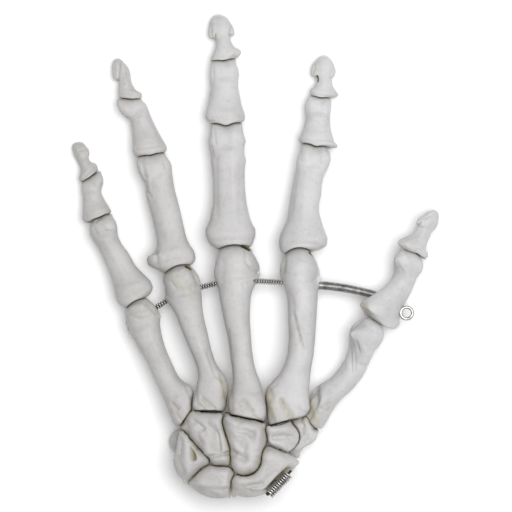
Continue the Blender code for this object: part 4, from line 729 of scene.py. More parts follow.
PHALANX_MARKS = {
    "index_proximal": (
        (323, 148, 328.5, 160, 1.3, 0.3), (318, 150, 320, 166, 2.4, -0.35),
        (301, 150, 300.5, 159, 1.4, -0.25), (311, 151, 313, 163, 1.4, -0.25),
        (306, 152, 306, 160, 1.4, 0.15), (286, 244, 318, 245, 2.0, -0.25),
        (283, 238, 323, 238, 3.0, 0.2), (297, 170, 291, 215, 1.8, -0.2),
        (306, 175, 303, 225, 3.0, 0.15), (312, 228, 318, 240, 2.2, 0.15),
        (311, 255, 314, 255.5, 1.4, -0.3, 0.9)),
    "middle_proximal": (
        (214, 128, 215.5, 144, 1.2, -0.3), (238, 128, 236, 142, 1.2, -0.25),
        (224, 129, 221, 135, 1.2, -0.2), (231, 131, 229, 140, 1.4, 0.15),
        (211, 146, 213, 156, 1.3, -0.25), (232, 150, 235, 225, 3.2, 0.25),
        (216, 160, 217, 214, 2.4, -0.3), (212, 241, 249, 240, 2.0, -0.25),
        (209, 233, 252, 233, 3.0, 0.2), (241, 160, 240, 214, 1.8, -0.12),
        (243, 246, 250, 248, 1.4, -0.3, 0.95)),
    "ring_proximal": (
        (141.5, 160, 145, 177, 2.0, -0.45), (147, 157, 150, 190, 1.6, 0.3),
        (146, 190, 151, 197, 1.2, -0.35), (163, 160, 166, 168, 1.4, -0.2),
        (160, 264, 188, 257, 2.0, -0.25), (160, 254, 188, 248, 3.0, 0.2),
        (156.5, 252, 157.5, 265, 1.6, -0.65), (158, 200, 168, 240, 3.0, 0.15),
        (188, 266, 192, 267.5, 1.3, -0.3, 0.9)),
    "little_proximal": (
        (100, 224, 106, 231, 1.1, -0.35), (106, 231, 116, 232.5, 1.1, -0.35),
        (96, 222, 101, 217, 1.1, -0.3), (94, 228, 98, 236, 1.4, -0.25),
        (121, 299, 147, 289, 2.0, -0.25), (118, 291, 146, 280, 3.0, 0.2),
        (105, 240, 124, 275, 2.6, 0.15)),
    "index_middle": (
        (304, 140, 333, 140, 1.6, -0.25), (303, 134, 331, 134, 2.4, 0.15),
        (308, 100, 307, 118, 1.4, -0.15), (316, 103, 320, 103, 2.0, -0.15),
        (329, 104, 328.5, 125, 1.4, -0.15)),
    "middle_middle": (
        (211, 118.5, 242, 118.5, 1.6, -0.3), (210, 111, 240, 111, 2.6, 0.15),
        (207, 121.5, 213, 121, 1.2, -0.4), (213, 66, 213, 80, 1.4, -0.25),
        (236, 68, 236, 80, 1.4, -0.15), (213, 84, 211, 100, 1.6, -0.15)),
    "ring_middle": (
        (137, 149, 163, 145, 1.6, -0.3), (136, 141, 160, 138, 2.4, 0.15),
        (148, 114, 161, 140, 1.8, -0.3), (137, 112, 148, 138, 2.2, 0.2),
        (121, 105, 124, 112, 1.4, -0.2)),
    "little_middle": (
        (86, 217, 109, 211, 1.6, -0.3), (85, 209, 106, 204, 2.4, 0.15),
        (98, 178, 102, 186, 1.4, -0.25),
        (85, 223, 92, 224, 1.6, -0.4, 0.7), (91, 186, 92, 202, 2.0, 0.12)),
    "index_distal": (
        (317.0, 76, 317.2, 80.5, 1.2, -0.7, 1.0), (331.3, 79, 331, 72, 1.0, -0.6),
        (312.5, 74, 315, 64, 1.2, -0.35), (314.5, 64, 319, 59.5, 1.1, -0.2),
        (313, 94.5, 331, 97, 1.3, -0.3), (312, 91, 333, 93.5, 1.6, 0.2),
        (323, 62, 324, 84, 3.0, 0.25), (333, 63, 334, 74, 1.2, -0.2)),
    "middle_distal": (
        (214.6, 40, 215.3, 34, 1.1, -0.5, 0.5), (210.8, 23, 211.5, 36, 1.3, -0.35, 0.12),
        (229.4, 34, 231.4, 25, 1.0, -0.5, 0.2), (233, 36, 229.5, 34, 1.0, -0.4, 0.5),
        (213, 56, 236, 56.5, 1.4, -0.2), (238, 51, 233, 57, 1.5, -0.35),
        (221, 22, 222, 48, 3.6, 0.25), (219, 50, 212, 56, 1.6, 0.15)),
    "ring_distal": (
        (117.6, 80, 119.6, 62, 1.3, -0.6, 0.1), (125, 66, 130, 82, 1.8, -0.4),
        (122, 64, 126, 84, 1.6, 0.3), (114, 62, 114.5, 76, 1.2, -0.2),
        (121, 95.5, 138, 95.5, 1.3, -0.25), (120, 91, 138, 92, 1.6, 0.2),
        (131, 84, 137, 91, 1.4, -0.3)),
    "little_distal": (
        (79, 150, 87, 149, 1.1, -0.35), (74, 150, 78, 163, 1.3, -0.35),
        (80, 155, 85, 166, 1.8, 0.25), (84, 177, 95, 166, 1.3, -0.3),
        (90, 163, 95, 168, 1.2, -0.2), (76, 144, 82, 147, 1.2, 0.15)),
}


def jointed_bone(name, near, far, rows, depths, seat, shape, after):
    """Phalanx between two hinges; after is the direction of the bone beyond it."""
    origin, flexion = HINGES[near]
    tip, next_flexion = HINGES[far]
    own = bone_axes(origin, tip - origin, -flexion)
    head = dict(shape, along=(tip - origin).length, axes=bone_axes(tip, after, -next_flexion))
    heights = shaft_heights(*depths, seat["radius"], head["along"], head["depth"],
                            PHALANX_FLARE)
    return cast_bone(name, own, rows, heights, seat=seat, head=head)


def end_bone(name, near, rows, size, seat):
    """Last bone of a finger, from its hinge to the tuft."""
    length, tip_height, heading, base, waist, tuft = size
    origin, flexion = HINGES[near]
    drop = math.asin((origin.z - tip_height) / length)
    turn = math.radians(heading)
    along = Vector((math.sin(turn) * math.cos(drop), math.cos(turn) * math.cos(drop),
                    -math.sin(drop)))
    own = bone_axes(origin, along, -flexion)
    start = seat["radius"]
    heights = flared(base, waist, start, length, END_FLARE)
    heights += [(start + (length - start) * share, *(tuft * side * deep for side in TUFT_SHARES))
                for share, deep in TUFT_FORM]
    return cast_bone(name, own, rows, heights, seat=seat, corners=END_CORNERS), along


for finger in FINGERS:
    mcp, pip, dip = (HINGES[finger + key][0] for key in ("_mcp", "_pip", "_dip"))
    last, last_run = end_bone(finger + "_distal_cast", finger + "_dip", DISTAL_ROWS[finger],
                              DISTAL_SIZES[finger], PHALANX_JOINTS[finger + "_dip"])
    first = jointed_bone(finger + "_proximal_cast", finger + "_mcp", finger + "_pip",
                         PROXIMAL_ROWS[finger], PROXIMAL_DEPTHS[finger], KNUCKLES[finger],
                         PHALANX_JOINTS[finger + "_pip"], dip - pip)
    second = jointed_bone(finger + "_middle_cast", finger + "_pip", finger + "_dip",
                          MIDDLE_ROWS[finger], MIDDLE_DEPTHS[finger],
                          PHALANX_JOINTS[finger + "_pip"], PHALANX_JOINTS[finger + "_dip"],
                          last_run)
    for bone, part in ((first, "_proximal"), (second, "_middle"), (last, "_distal")):
        finish_cast(bone, finger + part, finger + part + "_phalanx",
                    PHALANX_MARKS[finger + part])

# ---------------------------------------------------------------------------------------------
# Thumb: three cast bones, rolled outwards. The metacarpal's base is a cup on the saddle of the
# trapezium, and the eye and the tether pass through the base of the proximal phalanx.

THUMB_JOINTS = {"cmc": joint_shape(0.0050, 0.0080, 0.25, cup=0.5, ball=0.45),
                "mcp": joint_shape(0.0067, 0.0065, 0.70),
                "ip": joint_shape(0.0053, 0.0047, 0.60, 0.0003, 0.0020)}
THUMB_ROWS = {
    "metacarpal": (
        (299, 412, 320, 428.3), (297.5, 406, 324, 425.5), (298.5, 400, 328, 420),
        (302.5, 394, 331.7, 413.5), (309, 388.8, 336.5, 406.5), (316, 386, 341.5, 400),
        (322.5, 382.5, 346.5, 394), (328.5, 377.8, 351.7, 388), (334, 372.3, 357, 381.5),
        (338.7, 366.8, 361.5, 375.5), (342.7, 361, 365.3, 369), (346, 355.5, 368.5, 362.7),
        (348.4, 350, 371.5, 356), (349.6, 344.5, 374.5, 350.3), (349.3, 340, 377.8, 345),
        (347.8, 336, 380.8, 340.5), (346.3, 332, 382.3, 336), (347.5, 329, 383, 331.5),
        (352, 325.3, 382.5, 327.5), (358, 320.5, 380, 324)),
    "proximal": (
        (365, 318, 383.5, 332), (363, 314.5, 389, 333), (361, 310, 394.5, 330.3),
        (360, 305.5, 398, 325.5), (362.3, 301.3, 398.8, 320.5), (366.5, 298, 399.8, 315.5),
        (371.5, 295, 401.5, 310.5), (376.5, 291.6, 403.8, 305), (381.5, 287.5, 406.7, 299.3),
        (386, 283.2, 409.5, 293.7), (389.6, 279, 412.2, 288), (392.3, 274.6, 414.8, 282.6),
        (394, 269.5, 417.8, 277.6), (393.5, 265, 420.5, 272.6), (392.3, 260.5, 422.7, 267.8),
        (393.3, 256.5, 423.6, 263.5), (396.3, 253, 422.5, 260)),
    "distal": (
        (401.5, 249.5, 423.5, 263.5), (399.2, 247, 425.8, 260.2), (398.2, 243.8, 427, 256),
        (400.2, 240.5, 426.6, 252), (404.5, 237.6, 425.6, 247.5), (409, 235, 425.9, 243),
        (412.5, 232.7, 427.2, 239.3), (415.5, 229.7, 429.2, 236.3), (418, 226.6, 431.6, 233.7),
        (417.8, 224.9, 434.3, 230.8), (416.3, 223.8, 436.6, 228), (417.2, 220.8, 438.2, 224),
        (419.3, 218, 438.9, 219.5), (422.8, 215.4, 438.8, 215.5), (427, 212.2, 437.6, 212.2),
        (431, 210.3, 435.8, 210.4), (433, 209.9, 434.3, 209.9)),
}
THUMB_DEPTHS = {"metacarpal": (0.0118, 0.0090), "proximal": (0.0118, 0.0076)}
THUMB_END = (0.0232, 0.0050, 27.0, 0.0088, 0.0058, 0.0050)
THUMB_START = 0.004                  # where the metacarpal's heights begin, from the saddle
THUMB_KNUCKLE = (350, 336)           # where the shaft turns into the head, worn smooth
THUMB_WORN, WORN_PASSES = 0.010, 30  # over this distance, in so many passes
THUMB_HELD = (0.0015, 0.006)         # nearer the index metacarpal the base keeps to the solid
HELD_PASSES = 5                      # so many passes even out where it starts to
THUMB_CLEAR = 0.0003                 # air between the base and the bones that it swings past
CLEAR_DEPTH = 0.002                  # points deeper in another bone than this stay as they are

THUMB_MARKS = {
    "metacarpal": (
        (348, 331, 361, 320.5, 1.4, -0.45), (356, 341, 359, 352, 1.1, -0.4),
        (350.5, 347, 352, 372, 1.2, -0.4), (354.5, 352, 355, 372, 1.1, -0.35),
        (347, 352, 347.5, 368, 1.4, 0.25), (362, 328, 372, 340, 3.0, 0.2),
        (371, 328, 380, 335, 1.2, -0.2), (364, 344, 372, 352, 1.4, -0.25),
        (321, 408, 328, 403, 1.0, -0.4), (328, 403, 328.5, 410, 1.0, -0.4),
        (328, 410.5, 321, 408.5, 1.0, -0.35), (312, 400, 316, 418, 1.8, 0.2),
        (320, 392, 345, 372, 2.6, 0.2), (305, 398, 318, 391, 1.6, -0.2),
        (311, 400, 315, 424, 6, 0, 0.18)),
    "proximal": (
        (364, 303, 368, 316, 2.0, -0.35), (385, 309.5, 392, 309.5, 1.0, -0.4),
        (372, 299, 391, 316, 3.0, 0.2), (369, 319, 384, 330, 1.4, -0.25),
        (390, 318, 396, 326, 1.6, -0.2), (396, 262, 402, 272, 2.0, -0.3),
        (405, 256, 409, 264, 1.6, 0.2), (398, 257, 404, 260, 1.2, -0.2),
        (385, 290, 399, 272, 2.6, 0.15), (363, 304, 368, 315, 3.0, 0, 0.3)),
    "distal": (
        (417.5, 225.2, 420.5, 222.6, 1.1, -0.5, 0.4), (424, 218.5, 430, 215.5, 1.0, -0.35),
        (430, 216, 437, 213, 1.0, -0.3), (420, 219, 427, 213.5, 1.0, -0.2),
        (404, 246.5, 418, 241, 1.3, -0.25), (401, 243, 405, 247, 1.2, -0.25),
        (418, 240, 430, 222, 2.6, 0.25), (421, 250, 424, 258, 1.3, -0.2)),
}


def hull_of(mesh):
    """The mesh as a hull that nearest points and rays can be asked for."""
    return BVHTree.FromPolygons([v.co for v in mesh.vertices],
                                [tuple(q.vertices) for q in mesh.polygons])


def clear_of(bone, other, gap):
    """Moves the points of a bone that lie inside another, or nearer than the gap, out to it."""
    hull = hull_of(other.data)
    for vert in bone.data.vertices:
        spot, normal = hull.find_nearest(vert.co)[:2]
        if (vert.co - spot).dot(normal) < gap and (vert.co - spot).length < 4 * gap + CLEAR_DEPTH:
            vert.co = spot + normal * gap
    bone.data.update()


saddle, mcp, ip = (HINGES["thumb_" + key][0] for key in ("cmc", "mcp", "ip"))
thumb_across = -HINGES["thumb_mcp"][1]
thumb_last, thumb_run = end_bone("thumb_distal_cast", "thumb_ip", THUMB_ROWS["distal"],
                                 THUMB_END, THUMB_JOINTS["ip"])
thumb_first = jointed_bone("thumb_proximal_cast", "thumb_mcp", "thumb_ip",
                           THUMB_ROWS["proximal"], THUMB_DEPTHS["proximal"],
                           THUMB_JOINTS["mcp"], THUMB_JOINTS["ip"], thumb_run)
own = bone_axes(saddle, mcp - saddle, thumb_across)
head = dict(THUMB_JOINTS["mcp"], along=(mcp - saddle).length,
            axes=bone_axes(mcp, ip - mcp, thumb_across))
heights = shaft_heights(*THUMB_DEPTHS["metacarpal"], THUMB_START, head["along"],
                        head["depth"], PHALANX_FLARE)
thumb_root = cast_bone("thumb_metacarpal_cast", own, THUMB_ROWS["metacarpal"], heights,
                       seat=THUMB_JOINTS["cmc"], head=head)
work = bmesh.new()
work.from_mesh(thumb_root.data)
knuckle = plan(*THUMB_KNUCKLE)
turning = [vert for vert in work.verts if (vert.co.xy - knuckle).length < THUMB_WORN]
solid = hull_of(frame["nodes"]["thumb_metacarpal"].data)
index_bone = bpy.data.objects["index_metacarpal_cast"]
beside = hull_of(index_bone.data)
kept = []
for vert in work.verts:
    spot, normal, _, away = beside.find_nearest(vert.co)
    held = 1 - eased(away if (vert.co - spot).dot(normal) > 0 else 0.0, *THUMB_HELD)
    if held > 0:
        vert.co = vert.co.lerp(solid.find_nearest(vert.co)[0], float(held))
        kept.append(vert)
for verts, passes in ((turning, WORN_PASSES), (kept, HELD_PASSES)):
    for _ in range(passes):
        bmesh.ops.smooth_vert(work, verts=verts, factor=0.5, use_axis_x=True, use_axis_y=True,
                              use_axis_z=True)
work.to_mesh(thumb_root.data)
work.free()
finish_cast(thumb_root, "thumb_base", "thumb_metacarpal", THUMB_MARKS["metacarpal"])
clear_of(thumb_root, index_bone, THUMB_CLEAR)
finish_cast(thumb_first, "thumb_proximal", "thumb_proximal_phalanx", THUMB_MARKS["proximal"])
finish_cast(thumb_last, "thumb_distal", "thumb_distal_phalanx", THUMB_MARKS["distal"])

# ---------------------------------------------------------------------------------------------
# Wrist: eight short bones, cast like the rest and rougher, wired into one arched block. Their
# edges are worn round where the mould's parting ran.

WRIST_CELL, ROW_STEP = 0.00036, 0.87   # spacing of the points on a bone, and of their rows
EDGE_FREE = 0.6                      # both as shares of that: the edge's points stand alone
LINE_STEPS = 12                      # points between two corners of an outline
NEIGHBOURS = 6                       # a place beside the solid takes the mean of so many
WRIST_WALLS = 12                     # rows of points down a side
WRIST_TAPER = 0.05                   # the palm side is narrower by this share
WRIST_TOUCH = 0.00005                # half the air left where the walls meet, deep in a seam
WRIST_BULGE = 0.0026                 # and the most that a wall swells to get there
WRIST_SPREAD = 0.8                   # share of the air that a bone's top edge takes up,
WRIST_MOST = 0.0006                  # and the most it takes
WRIST_DEEP = 0.001                   # wider gaps than this are bridged deep down
WRIST_FREE = 0.0003                  # swelling of a wall with no neighbour
SEAM_DEPTH = (0.0006, 0.0028)        # painted seam shade: none above this depth and black below that
# the most painted shade in a seam
SEAM_SHADE = 0.6
WALL_LEAST = 0.0001                  # every wall swells by this at least,
WALL_DEPTH = (0.6, 0.6)              # the wider a gap, the deeper down its swelling lies,
WALL_FULL = 0.7                      # and it is the fuller, the less this power
METACARPAL_WAY, HALF_WAY = 0.9, 0.5  # shares of the way to a neighbour that a wall may swell
BASE_RINGS = 12                      # rings of a metacarpal that may stand beside a wrist bone
FILLING, SMOOTHING = 8, 22           # passes that close a pin's bore and that even a surface
EVENING = 0.6                        # share that a point takes from its neighbours in a pass
ROUND_MOST = 0.42                    # an edge is rounded over this share of the depth at most
FACET_GAP = 0.0003                   # air between the pisiform and the bone that it lies under
PALM_WEAR = 0.5                      # the palm side is worn this much less
WRIST_STEP = 0.0001
WRIST_ROUGHNESS = (0.00015, 0.00005)
WRIST_SLIT = 0.0008                  # a wall closes a slit this wide between two others
WRIST_ROUND = {"capitate": 0.0020, "hamate": 0.0021, "lunate": 0.0028, "pisiform": 0.0016,
               "scaphoid": 0.0026, "trapezium": 0.0012, "trapezoid": 0.0018,
               "triquetrum": 0.0022}
# Outline of each bone in the photograph, round its seams
WRIST_OUTLINES = {
    "hamate": (
        (190, 412.5), (196, 410.8), (203, 412), (212, 413), (220, 412.5), (221.5, 417),
        (221.8, 423), (223.5, 430), (226, 438), (228.6, 446), (229.6, 454), (229.3, 461),
        (226.5, 463.8), (220, 464), (214.5, 462), (210, 456), (205, 450), (199, 445.5),
        (193, 440), (188.5, 435), (184.5, 428.5), (184, 422), (186.5, 416.5)),
    "capitate": (
        (223, 418.5), (228, 415.5), (234, 415.8), (242, 417.4), (250, 419), (258, 421),
        (263.3, 423.3), (265.3, 430), (266.3, 436.5), (264.3, 441), (262, 447),
        (261.3, 455), (260, 462), (256, 468), (250.5, 472), (244, 472.8), (237.5, 469.5),
        (233, 463.5), (231.3, 455), (231.2, 446), (228.8, 439), (225.6, 431), (223, 424)),
    "trapezoid": (
        (268.3, 426), (276, 425.5), (284, 424), (289, 422), (292.5, 425.3), (296.3, 430),
        (298.3, 435), (297.3, 440.5), (293, 446), (287, 449.5), (280, 447.3), (274, 443.5),
        (269.5, 438.5), (267.8, 432)),
    "trapezium": (
        (292, 419), (297, 417.3), (302.5, 416), (306.5, 415), (309.5, 418.5), (310, 425),
        (311.5, 430), (315.8, 434), (315, 438.5), (310, 443), (303.5, 446.5), (300, 451),
        (298, 455.3), (294.5, 455.3), (289.8, 452), (293.8, 447.8), (298.6, 442.3),
        (300, 435), (298, 429.3), (294.2, 424)),
    "scaphoid": (
        (263.8, 450), (268.5, 446.6), (275, 447.8), (282, 450.5), (288, 454.5),
        (293.5, 458), (295.3, 463), (293, 468), (288, 472.5), (281, 479), (275, 485.5),
        (268.5, 490), (262, 492.8), (252, 494.8), (243, 494.5), (235, 492), (231.7, 489),
        (231.2, 483), (232.7, 477.5), (235.5, 475), (242, 475.8), (249, 474.8),
        (255.7, 471), (260.7, 465), (262.8, 458)),
    "lunate": (
        (191, 482), (193, 477.5), (199, 471.5), (206, 467), (214, 465.3), (222, 465.2),
        (228.5, 467.3), (232.5, 471.5), (232.7, 476), (230.3, 481), (229.6, 487.5),
        (228.3, 492), (224, 495.8), (216, 496.2), (208, 494.8), (200.5, 491.5), (194, 487)),
    "triquetrum": (
        (183.5, 431.5), (188, 437), (193.5, 441.5), (199, 447), (204.5, 452.5),
        (208.8, 458.5), (207, 463.3), (202, 467), (196.5, 472), (191, 477), (185, 476.8),
        (179.5, 474), (176.5, 468), (174.5, 461), (175.5, 454.5), (177.5, 449),
        (178.5, 441), (180, 434.5)),
    "pisiform": (
        (181, 428.5), (175.5, 431.5), (171.3, 436.5), (169.8, 442), (171.2, 447.5),
        (175, 452), (181, 454), (187, 451.5), (190.5, 444), (189, 435), (185.5, 429.5)),
}
WRIST_MARKS = {
    "hamate": (
        (190, 414, 216, 415, 5.2, 0.28), (194, 420, 203, 427, 2.6, -1.08),
        (203, 427, 206, 433, 2.1, -0.46), (208, 423, 216, 430, 2.7, -0.57),
        (197, 424, 190, 430, 2.7, 0.35), (218, 434, 219, 447, 4.8, -1.62),
        (204, 432, 208, 450, 4.6, 0.94), (211, 455, 229, 451.5, 2.0, -1.22),
        (216, 459, 227, 459, 4.5, 0.35), (187, 421, 189, 432, 3.3, -0.35),
        (212, 418, 219, 424, 2.7, 0.28), (199, 437, 203, 442, 2.1, -0.35)),
    "capitate": (
        (228, 419, 259, 425, 3.6, 0.35), (245, 429, 252, 432, 3.4, -1.01, 0.05),
        (252, 433, 252.5, 436, 2.6, -0.47), (232, 425, 240, 430, 2.4, -0.41),
        (236, 432, 246, 434, 2.2, 0.35), (234, 438, 243, 446, 2.7, -0.41),
        (250, 438, 252, 464, 6.0, 0.57), (233, 452, 244, 456, 3.6, -1.62, 0.05),
        (236, 459, 243, 466, 4.5, 0.35), (259, 428, 257, 446, 2.7, 0.41),
        (246, 444, 244, 450, 2.4, -0.35), (240, 421, 236, 424, 2.4, -0.28)),
    "trapezoid": (
        (270, 428, 291, 426, 3.3, 0.41), (274, 436, 291, 436, 3.4, -1.62),
        (272, 441, 284, 446, 2.7, 0.28), (284, 441, 294, 445, 2.4, -0.35),
        (279, 434, 284, 433, 1.8, -0.35)),
    "trapezium": (
        (305, 417, 307, 428, 2.4, 0.35), (301, 420, 302, 434, 2.0, -0.46),
        (303.5, 424, 304, 426, 1.5, -0.35), (309, 432, 312, 438, 3.0, 0.28),
        (299, 446, 306, 439, 2.4, -0.35)),
    "lunate": (
        (204, 472, 226, 468, 6.0, 0.35), (194, 483, 229, 483, 2.1, 0.41),
        (200, 489, 226, 489, 4.2, -1.15), (206, 480, 224, 478, 3.6, -0.23),
        (222, 492, 227, 489, 2.1, 0.46), (210, 492, 216, 494, 2.1, -0.46)),
    "scaphoid": (
        (266, 455, 291, 463, 7.5, 0.46), (234, 478, 262, 478, 3.9, 0.41),
        (241, 485, 262, 482.5, 2.5, -1.04), (243, 487, 250, 489, 2.1, -0.69),
        (234, 489, 264, 490, 3.3, -0.8), (252, 486, 265, 488, 2.1, 0.35),
        (263, 480, 276, 470, 3.0, -0.51), (290, 466, 294, 460, 2.2, -0.35),
        (270, 491, 290, 471, 5.5, -2.2, 0.5)),
    "triquetrum": (
        (186, 437, 187, 470, 4.5, 0.8), (181, 439, 180, 454, 2.7, -0.92),
        (193, 447, 193.5, 457, 2.4, -2.16, 0.5), (195, 444, 199, 447, 1.8, -0.46),
        (198, 452, 203, 460, 4.5, -0.41), (177, 456, 184, 471, 2.7, -0.57),
        (178, 462, 180, 470, 3.0, 0.46)),
    "pisiform": ((173, 440, 175, 444, 3.6, 0.35), (178, 434, 180, 446, 2.4, -0.46)),
}


def closed_outline(spots):
    """Smooth closed line through pixels, as evenly spaced places on the table."""
    knots = np.array([plan(*spot) for spot in spots])
    t = np.linspace(0, 1, LINE_STEPS, endpoint=False)[:, None]
    line = []
    for i in range(len(knots)):
        a, b, c, d = (knots[(i + k) % len(knots)] for k in (-1, 0, 1, 2))
        line.append(b + 0.5 * t * (c - a + t * (2 * a - 5 * b + 4 * c - d
                                                + t * (3 * b - a - 3 * c + d))))
    line = np.concatenate(line)
    run = np.concatenate(([0], np.cumsum(np.linalg.norm(np.roll(line, -1, 0) - line, axis=1))))
    at = np.linspace(0, run[-1], int(run[-1] / WRIST_CELL), endpoint=False)
    again = np.concatenate((line, line[:1]))
    return np.stack([np.interp(at, run, again[:, k]) for k in (0, 1)], 1)


def surface_heights(hull, places, side):
    """Where the solid's top (side 1) or palm side (-1) lies over each place."""
    hits, misses = [], []
    heights = np.zeros(len(places))
    for i, (x, y) in enumerate(places):
        hit = hull.ray_cast(Vector((x, y, 0.1 * side)), Vector((0, 0, -side)))[0]
        if hit is None:
            misses.append(i)
        else:
            heights[i] = hit.z
            hits.append(i)
    if misses:
        known = KDTree(len(hits))
        for i in hits:
            known.insert((*places[i], 0), i)
        known.balance()
        for i in misses:
            heights[i] = np.mean([heights[k]
                                  for _, k, _ in known.find_n((*places[i], 0), NEIGHBOURS)])
    return heights


def around(values, pairs):
    """Mean of the values beside each point; pairs are the edges between points."""
    one, two = pairs.T
    total = np.bincount(one, values[two], len(values))
    total += np.bincount(two, values[one], len(values))
    return total / np.bincount(pairs.ravel(), minlength=len(values))


def wrist_bone(node, outline, others, above=None):
    """Pebble over the solid's place: its outline, a top and a palm side worn round, and walls
    that swell below the top until they nearly meet what is beside them.

    others are places beside it as (x, y, share of the way there that a wall may swell); above
    is the hull of a bone that lies over it."""
    count = len(outline)
    beyond = KDTree(len(others))
    for i, (x, y, _) in enumerate(others):
        beyond.insert((x, y, 0), i)
    beyond.balance()
    out = np.roll(outline, -1, 0) - np.roll(outline, 1, 0)
    out = np.column_stack((out[:, 1], -out[:, 0])) / np.linalg.norm(out, axis=1)[:, None]
    turned = np.sum(outline[:, 0] * np.roll(outline[:, 1], -1)
                    - outline[:, 1] * np.roll(outline[:, 0], -1))
    out *= np.sign(turned)
    swelling = np.full(count, WRIST_FREE)
    for i, spot in enumerate(outline if others else ()):
        narrowest = (WRIST_SLIT, 0.0)
        for step in np.arange(WRIST_STEP, WRIST_BULGE, WRIST_STEP):
            _, k, away = beyond.find((*(spot + out[i] * step), 0))
            room = away - step * (1 / others[k][2] - 1) - WRIST_TOUCH
            if room < 0:
                swelling[i] = step - WRIST_STEP
                break
            narrowest = min(narrowest, (room, step))
        else:
            if narrowest[0] < WRIST_SLIT:
                swelling[i] = narrowest[1]
    # a wall beside another bone is painted black deep down, as painted shade in the seam
    inside = (swelling != WRIST_FREE) * SEAM_SHADE
    for _ in range(2):
        swelling = (np.roll(swelling, 1) + 2 * swelling + np.roll(swelling, -1)) / 4
    outline = outline + out * np.clip(swelling * WRIST_SPREAD, 0, WRIST_MOST)[:, None]
    swelling = np.maximum(swelling - WRIST_MOST, WALL_LEAST)
    low, high = outline.min(0), outline.max(0)
    rows = np.arange(low[1], high[1], WRIST_CELL * ROW_STEP)
    inner = [(x + (i % 2) * WRIST_CELL / 2, y) for i, y in enumerate(rows)
             for x in np.arange(low[0], high[0], WRIST_CELL)]
    inner = [q for q in inner if np.min(np.hypot(*(outline - q).T)) > EDGE_FREE * WRIST_CELL]
    flat = [Vector(q) for q in outline] + [Vector(q) for q in inner]
    places, _, faces = geometry.delaunay_2d_cdt(
        flat, [(i, (i + 1) % count) for i in range(count)], [], 1, 1e-9)[:3]
    used = sorted({i for face in faces for i in face} | set(range(count)))
    order = {i: k for k, i in enumerate(used)}
    faces = [tuple(order[i] for i in face) for face in faces]
    places = np.array([places[i] for i in used])
    hull = hull_of(frame["nodes"][node].data)
    pairs = np.array(sorted({tuple(sorted(e)) for f in faces
                             for e in (f[:2], f[1:], (f[0], f[2]))}))
    levels = []
    for side in (1, -1):
        level = surface_heights(hull, places, side)
        for turn in range(FILLING + SMOOTHING):
            beside = around(level, pairs)
            if turn < FILLING:
                level = side * np.maximum(side * level, side * beside)
            else:
                level = (1 - EVENING) * level + EVENING * beside
        levels.append(level)
    top, palm = levels
    if above:
        for i, (x, y) in enumerate(places):
            facet = above.ray_cast(Vector((x, y, palm[i])), Vector((0, 0, 1)))[0]
            if facet:
                top[i] = facet.z - FACET_GAP
        for _ in range(SMOOTHING // 4):
            top = np.minimum(top, (1 - EVENING) * top + EVENING * around(top, pairs))
    edge = np.array([np.min(np.hypot(*(outline - q).T)) for q in places])
    worn = WRIST_ROUND[node]
    fall = 1 - np.sqrt(1 - np.clip(1 - edge / worn, 0, 1) ** 2)
    room = np.minimum(worn, ROUND_MOST * (top - palm))
    top, palm = top - room * fall, palm + PALM_WEAR * room * fall
    middle = outline.mean(0)
    narrow = middle + (places - middle) * (1 - WRIST_TAPER)
    points = [np.column_stack((places, top))]
    seam_shade = [np.zeros(len(places))]
    for k in range(1, WRIST_WALLS):
        share = k / WRIST_WALLS
        wall = places[:count] + (narrow[:count] - places[:count]) * eased(share, 0, 1)
        depth = WALL_DEPTH[0] + WALL_DEPTH[1] * np.clip(swelling / WRIST_DEEP, 0, 1)
        wall += out * (swelling * np.sin(math.pi * share ** depth) ** WALL_FULL)[:, None]
        points.append(np.column_stack((wall, top[:count] + (palm - top)[:count] * share)))
        # painted shade of the seam, darker deeper down the wall
        seam_shade.append(inside * eased((top - palm)[:count] * share, *SEAM_DEPTH))
    points.append(np.column_stack((narrow, palm)))
    seam_shade.append(np.zeros(len(places)))
    total = len(places)
    skin = [tuple(face) for face in faces]
    rows = [0] + [total + k * count for k in range(WRIST_WALLS - 1)]
    last = rows[-1] + count
    rows.append(last)
    skin += [tuple(last + i for i in reversed(face)) for face in faces]
    for upper, lower in zip(rows, rows[1:]):
        skin += [(upper + i, lower + i, lower + (i + 1) % count, upper + (i + 1) % count)
                 for i in range(count)]
    return meshed(node + "_cast", np.concatenate(points), skin), np.concatenate(seam_shade)


# A wrist bone swells half the way to the next, and nearly the whole way to a metacarpal, which
# doesn't swell. The pisiform has the triquetrum above it and nothing beside it.
seams = {node: closed_outline(spots) for node, spots in WRIST_OUTLINES.items()}
bases = [(x, y, METACARPAL_WAY) for bone in CASTS if "metacarpal" in bone.name
         for x, y, _ in points_of(bone)[:BASE_RINGS * COLUMNS]]
for node, outline in seams.items():
    if node == "pisiform":
        others, over = [], hull_of(bpy.data.objects["triquetrum_cast"].data)
    else:
        others, over = bases + [(x, y, HALF_WAY) for other, line in seams.items()
                                if other not in (node, "pisiform") for x, y in line], None
    bone, seam_shade = wrist_bone(node, outline, others, over)
    finish_cast(bone, "palm", node, WRIST_MARKS[node], *WRIST_ROUGHNESS, seam_shade)
    for finger in FINGERS:
        clear_of(bone, bpy.data.objects[finger + "_metacarpal_cast"], WRIST_TOUCH)
    clear_of(bone, thumb_root, THUMB_CLEAR)

# ---------------------------------------------------------------------------------------------
# Dirt of the workshop and of many hands, brown, where two casts meet, deepening to painted shade,
# near black, on faces that turn from the open top. How near the next bone is, and how far a face
# turns from the open top, goes on each point as an attribute.

DIRT_AND_SHADE_REACH, DIRT_AND_SHADE_FADE = 0.0015, 1.5  # the dirt and painted shade between casts fade with the distance by this power
DIRT_AND_SHADE_OPEN, SHADE_HIDDEN = 0.34, 1.1   # shares of it that lie in the open, and more when hidden, as painted shade, by this power of how far a face turns away
HIDDEN_FADE = 1.6                    # by this power of how far a face turns away
DIRT_AND_SHADE_SPREAD = 4                      # passes that even it out from point to point
WRIST_END = -0.045                   # the seams this side of it get the most dirt and painted shade
WRIST_DIRT_AND_SHADE = 0.85
FINGER_DIRT_AND_SHADE = 0.32

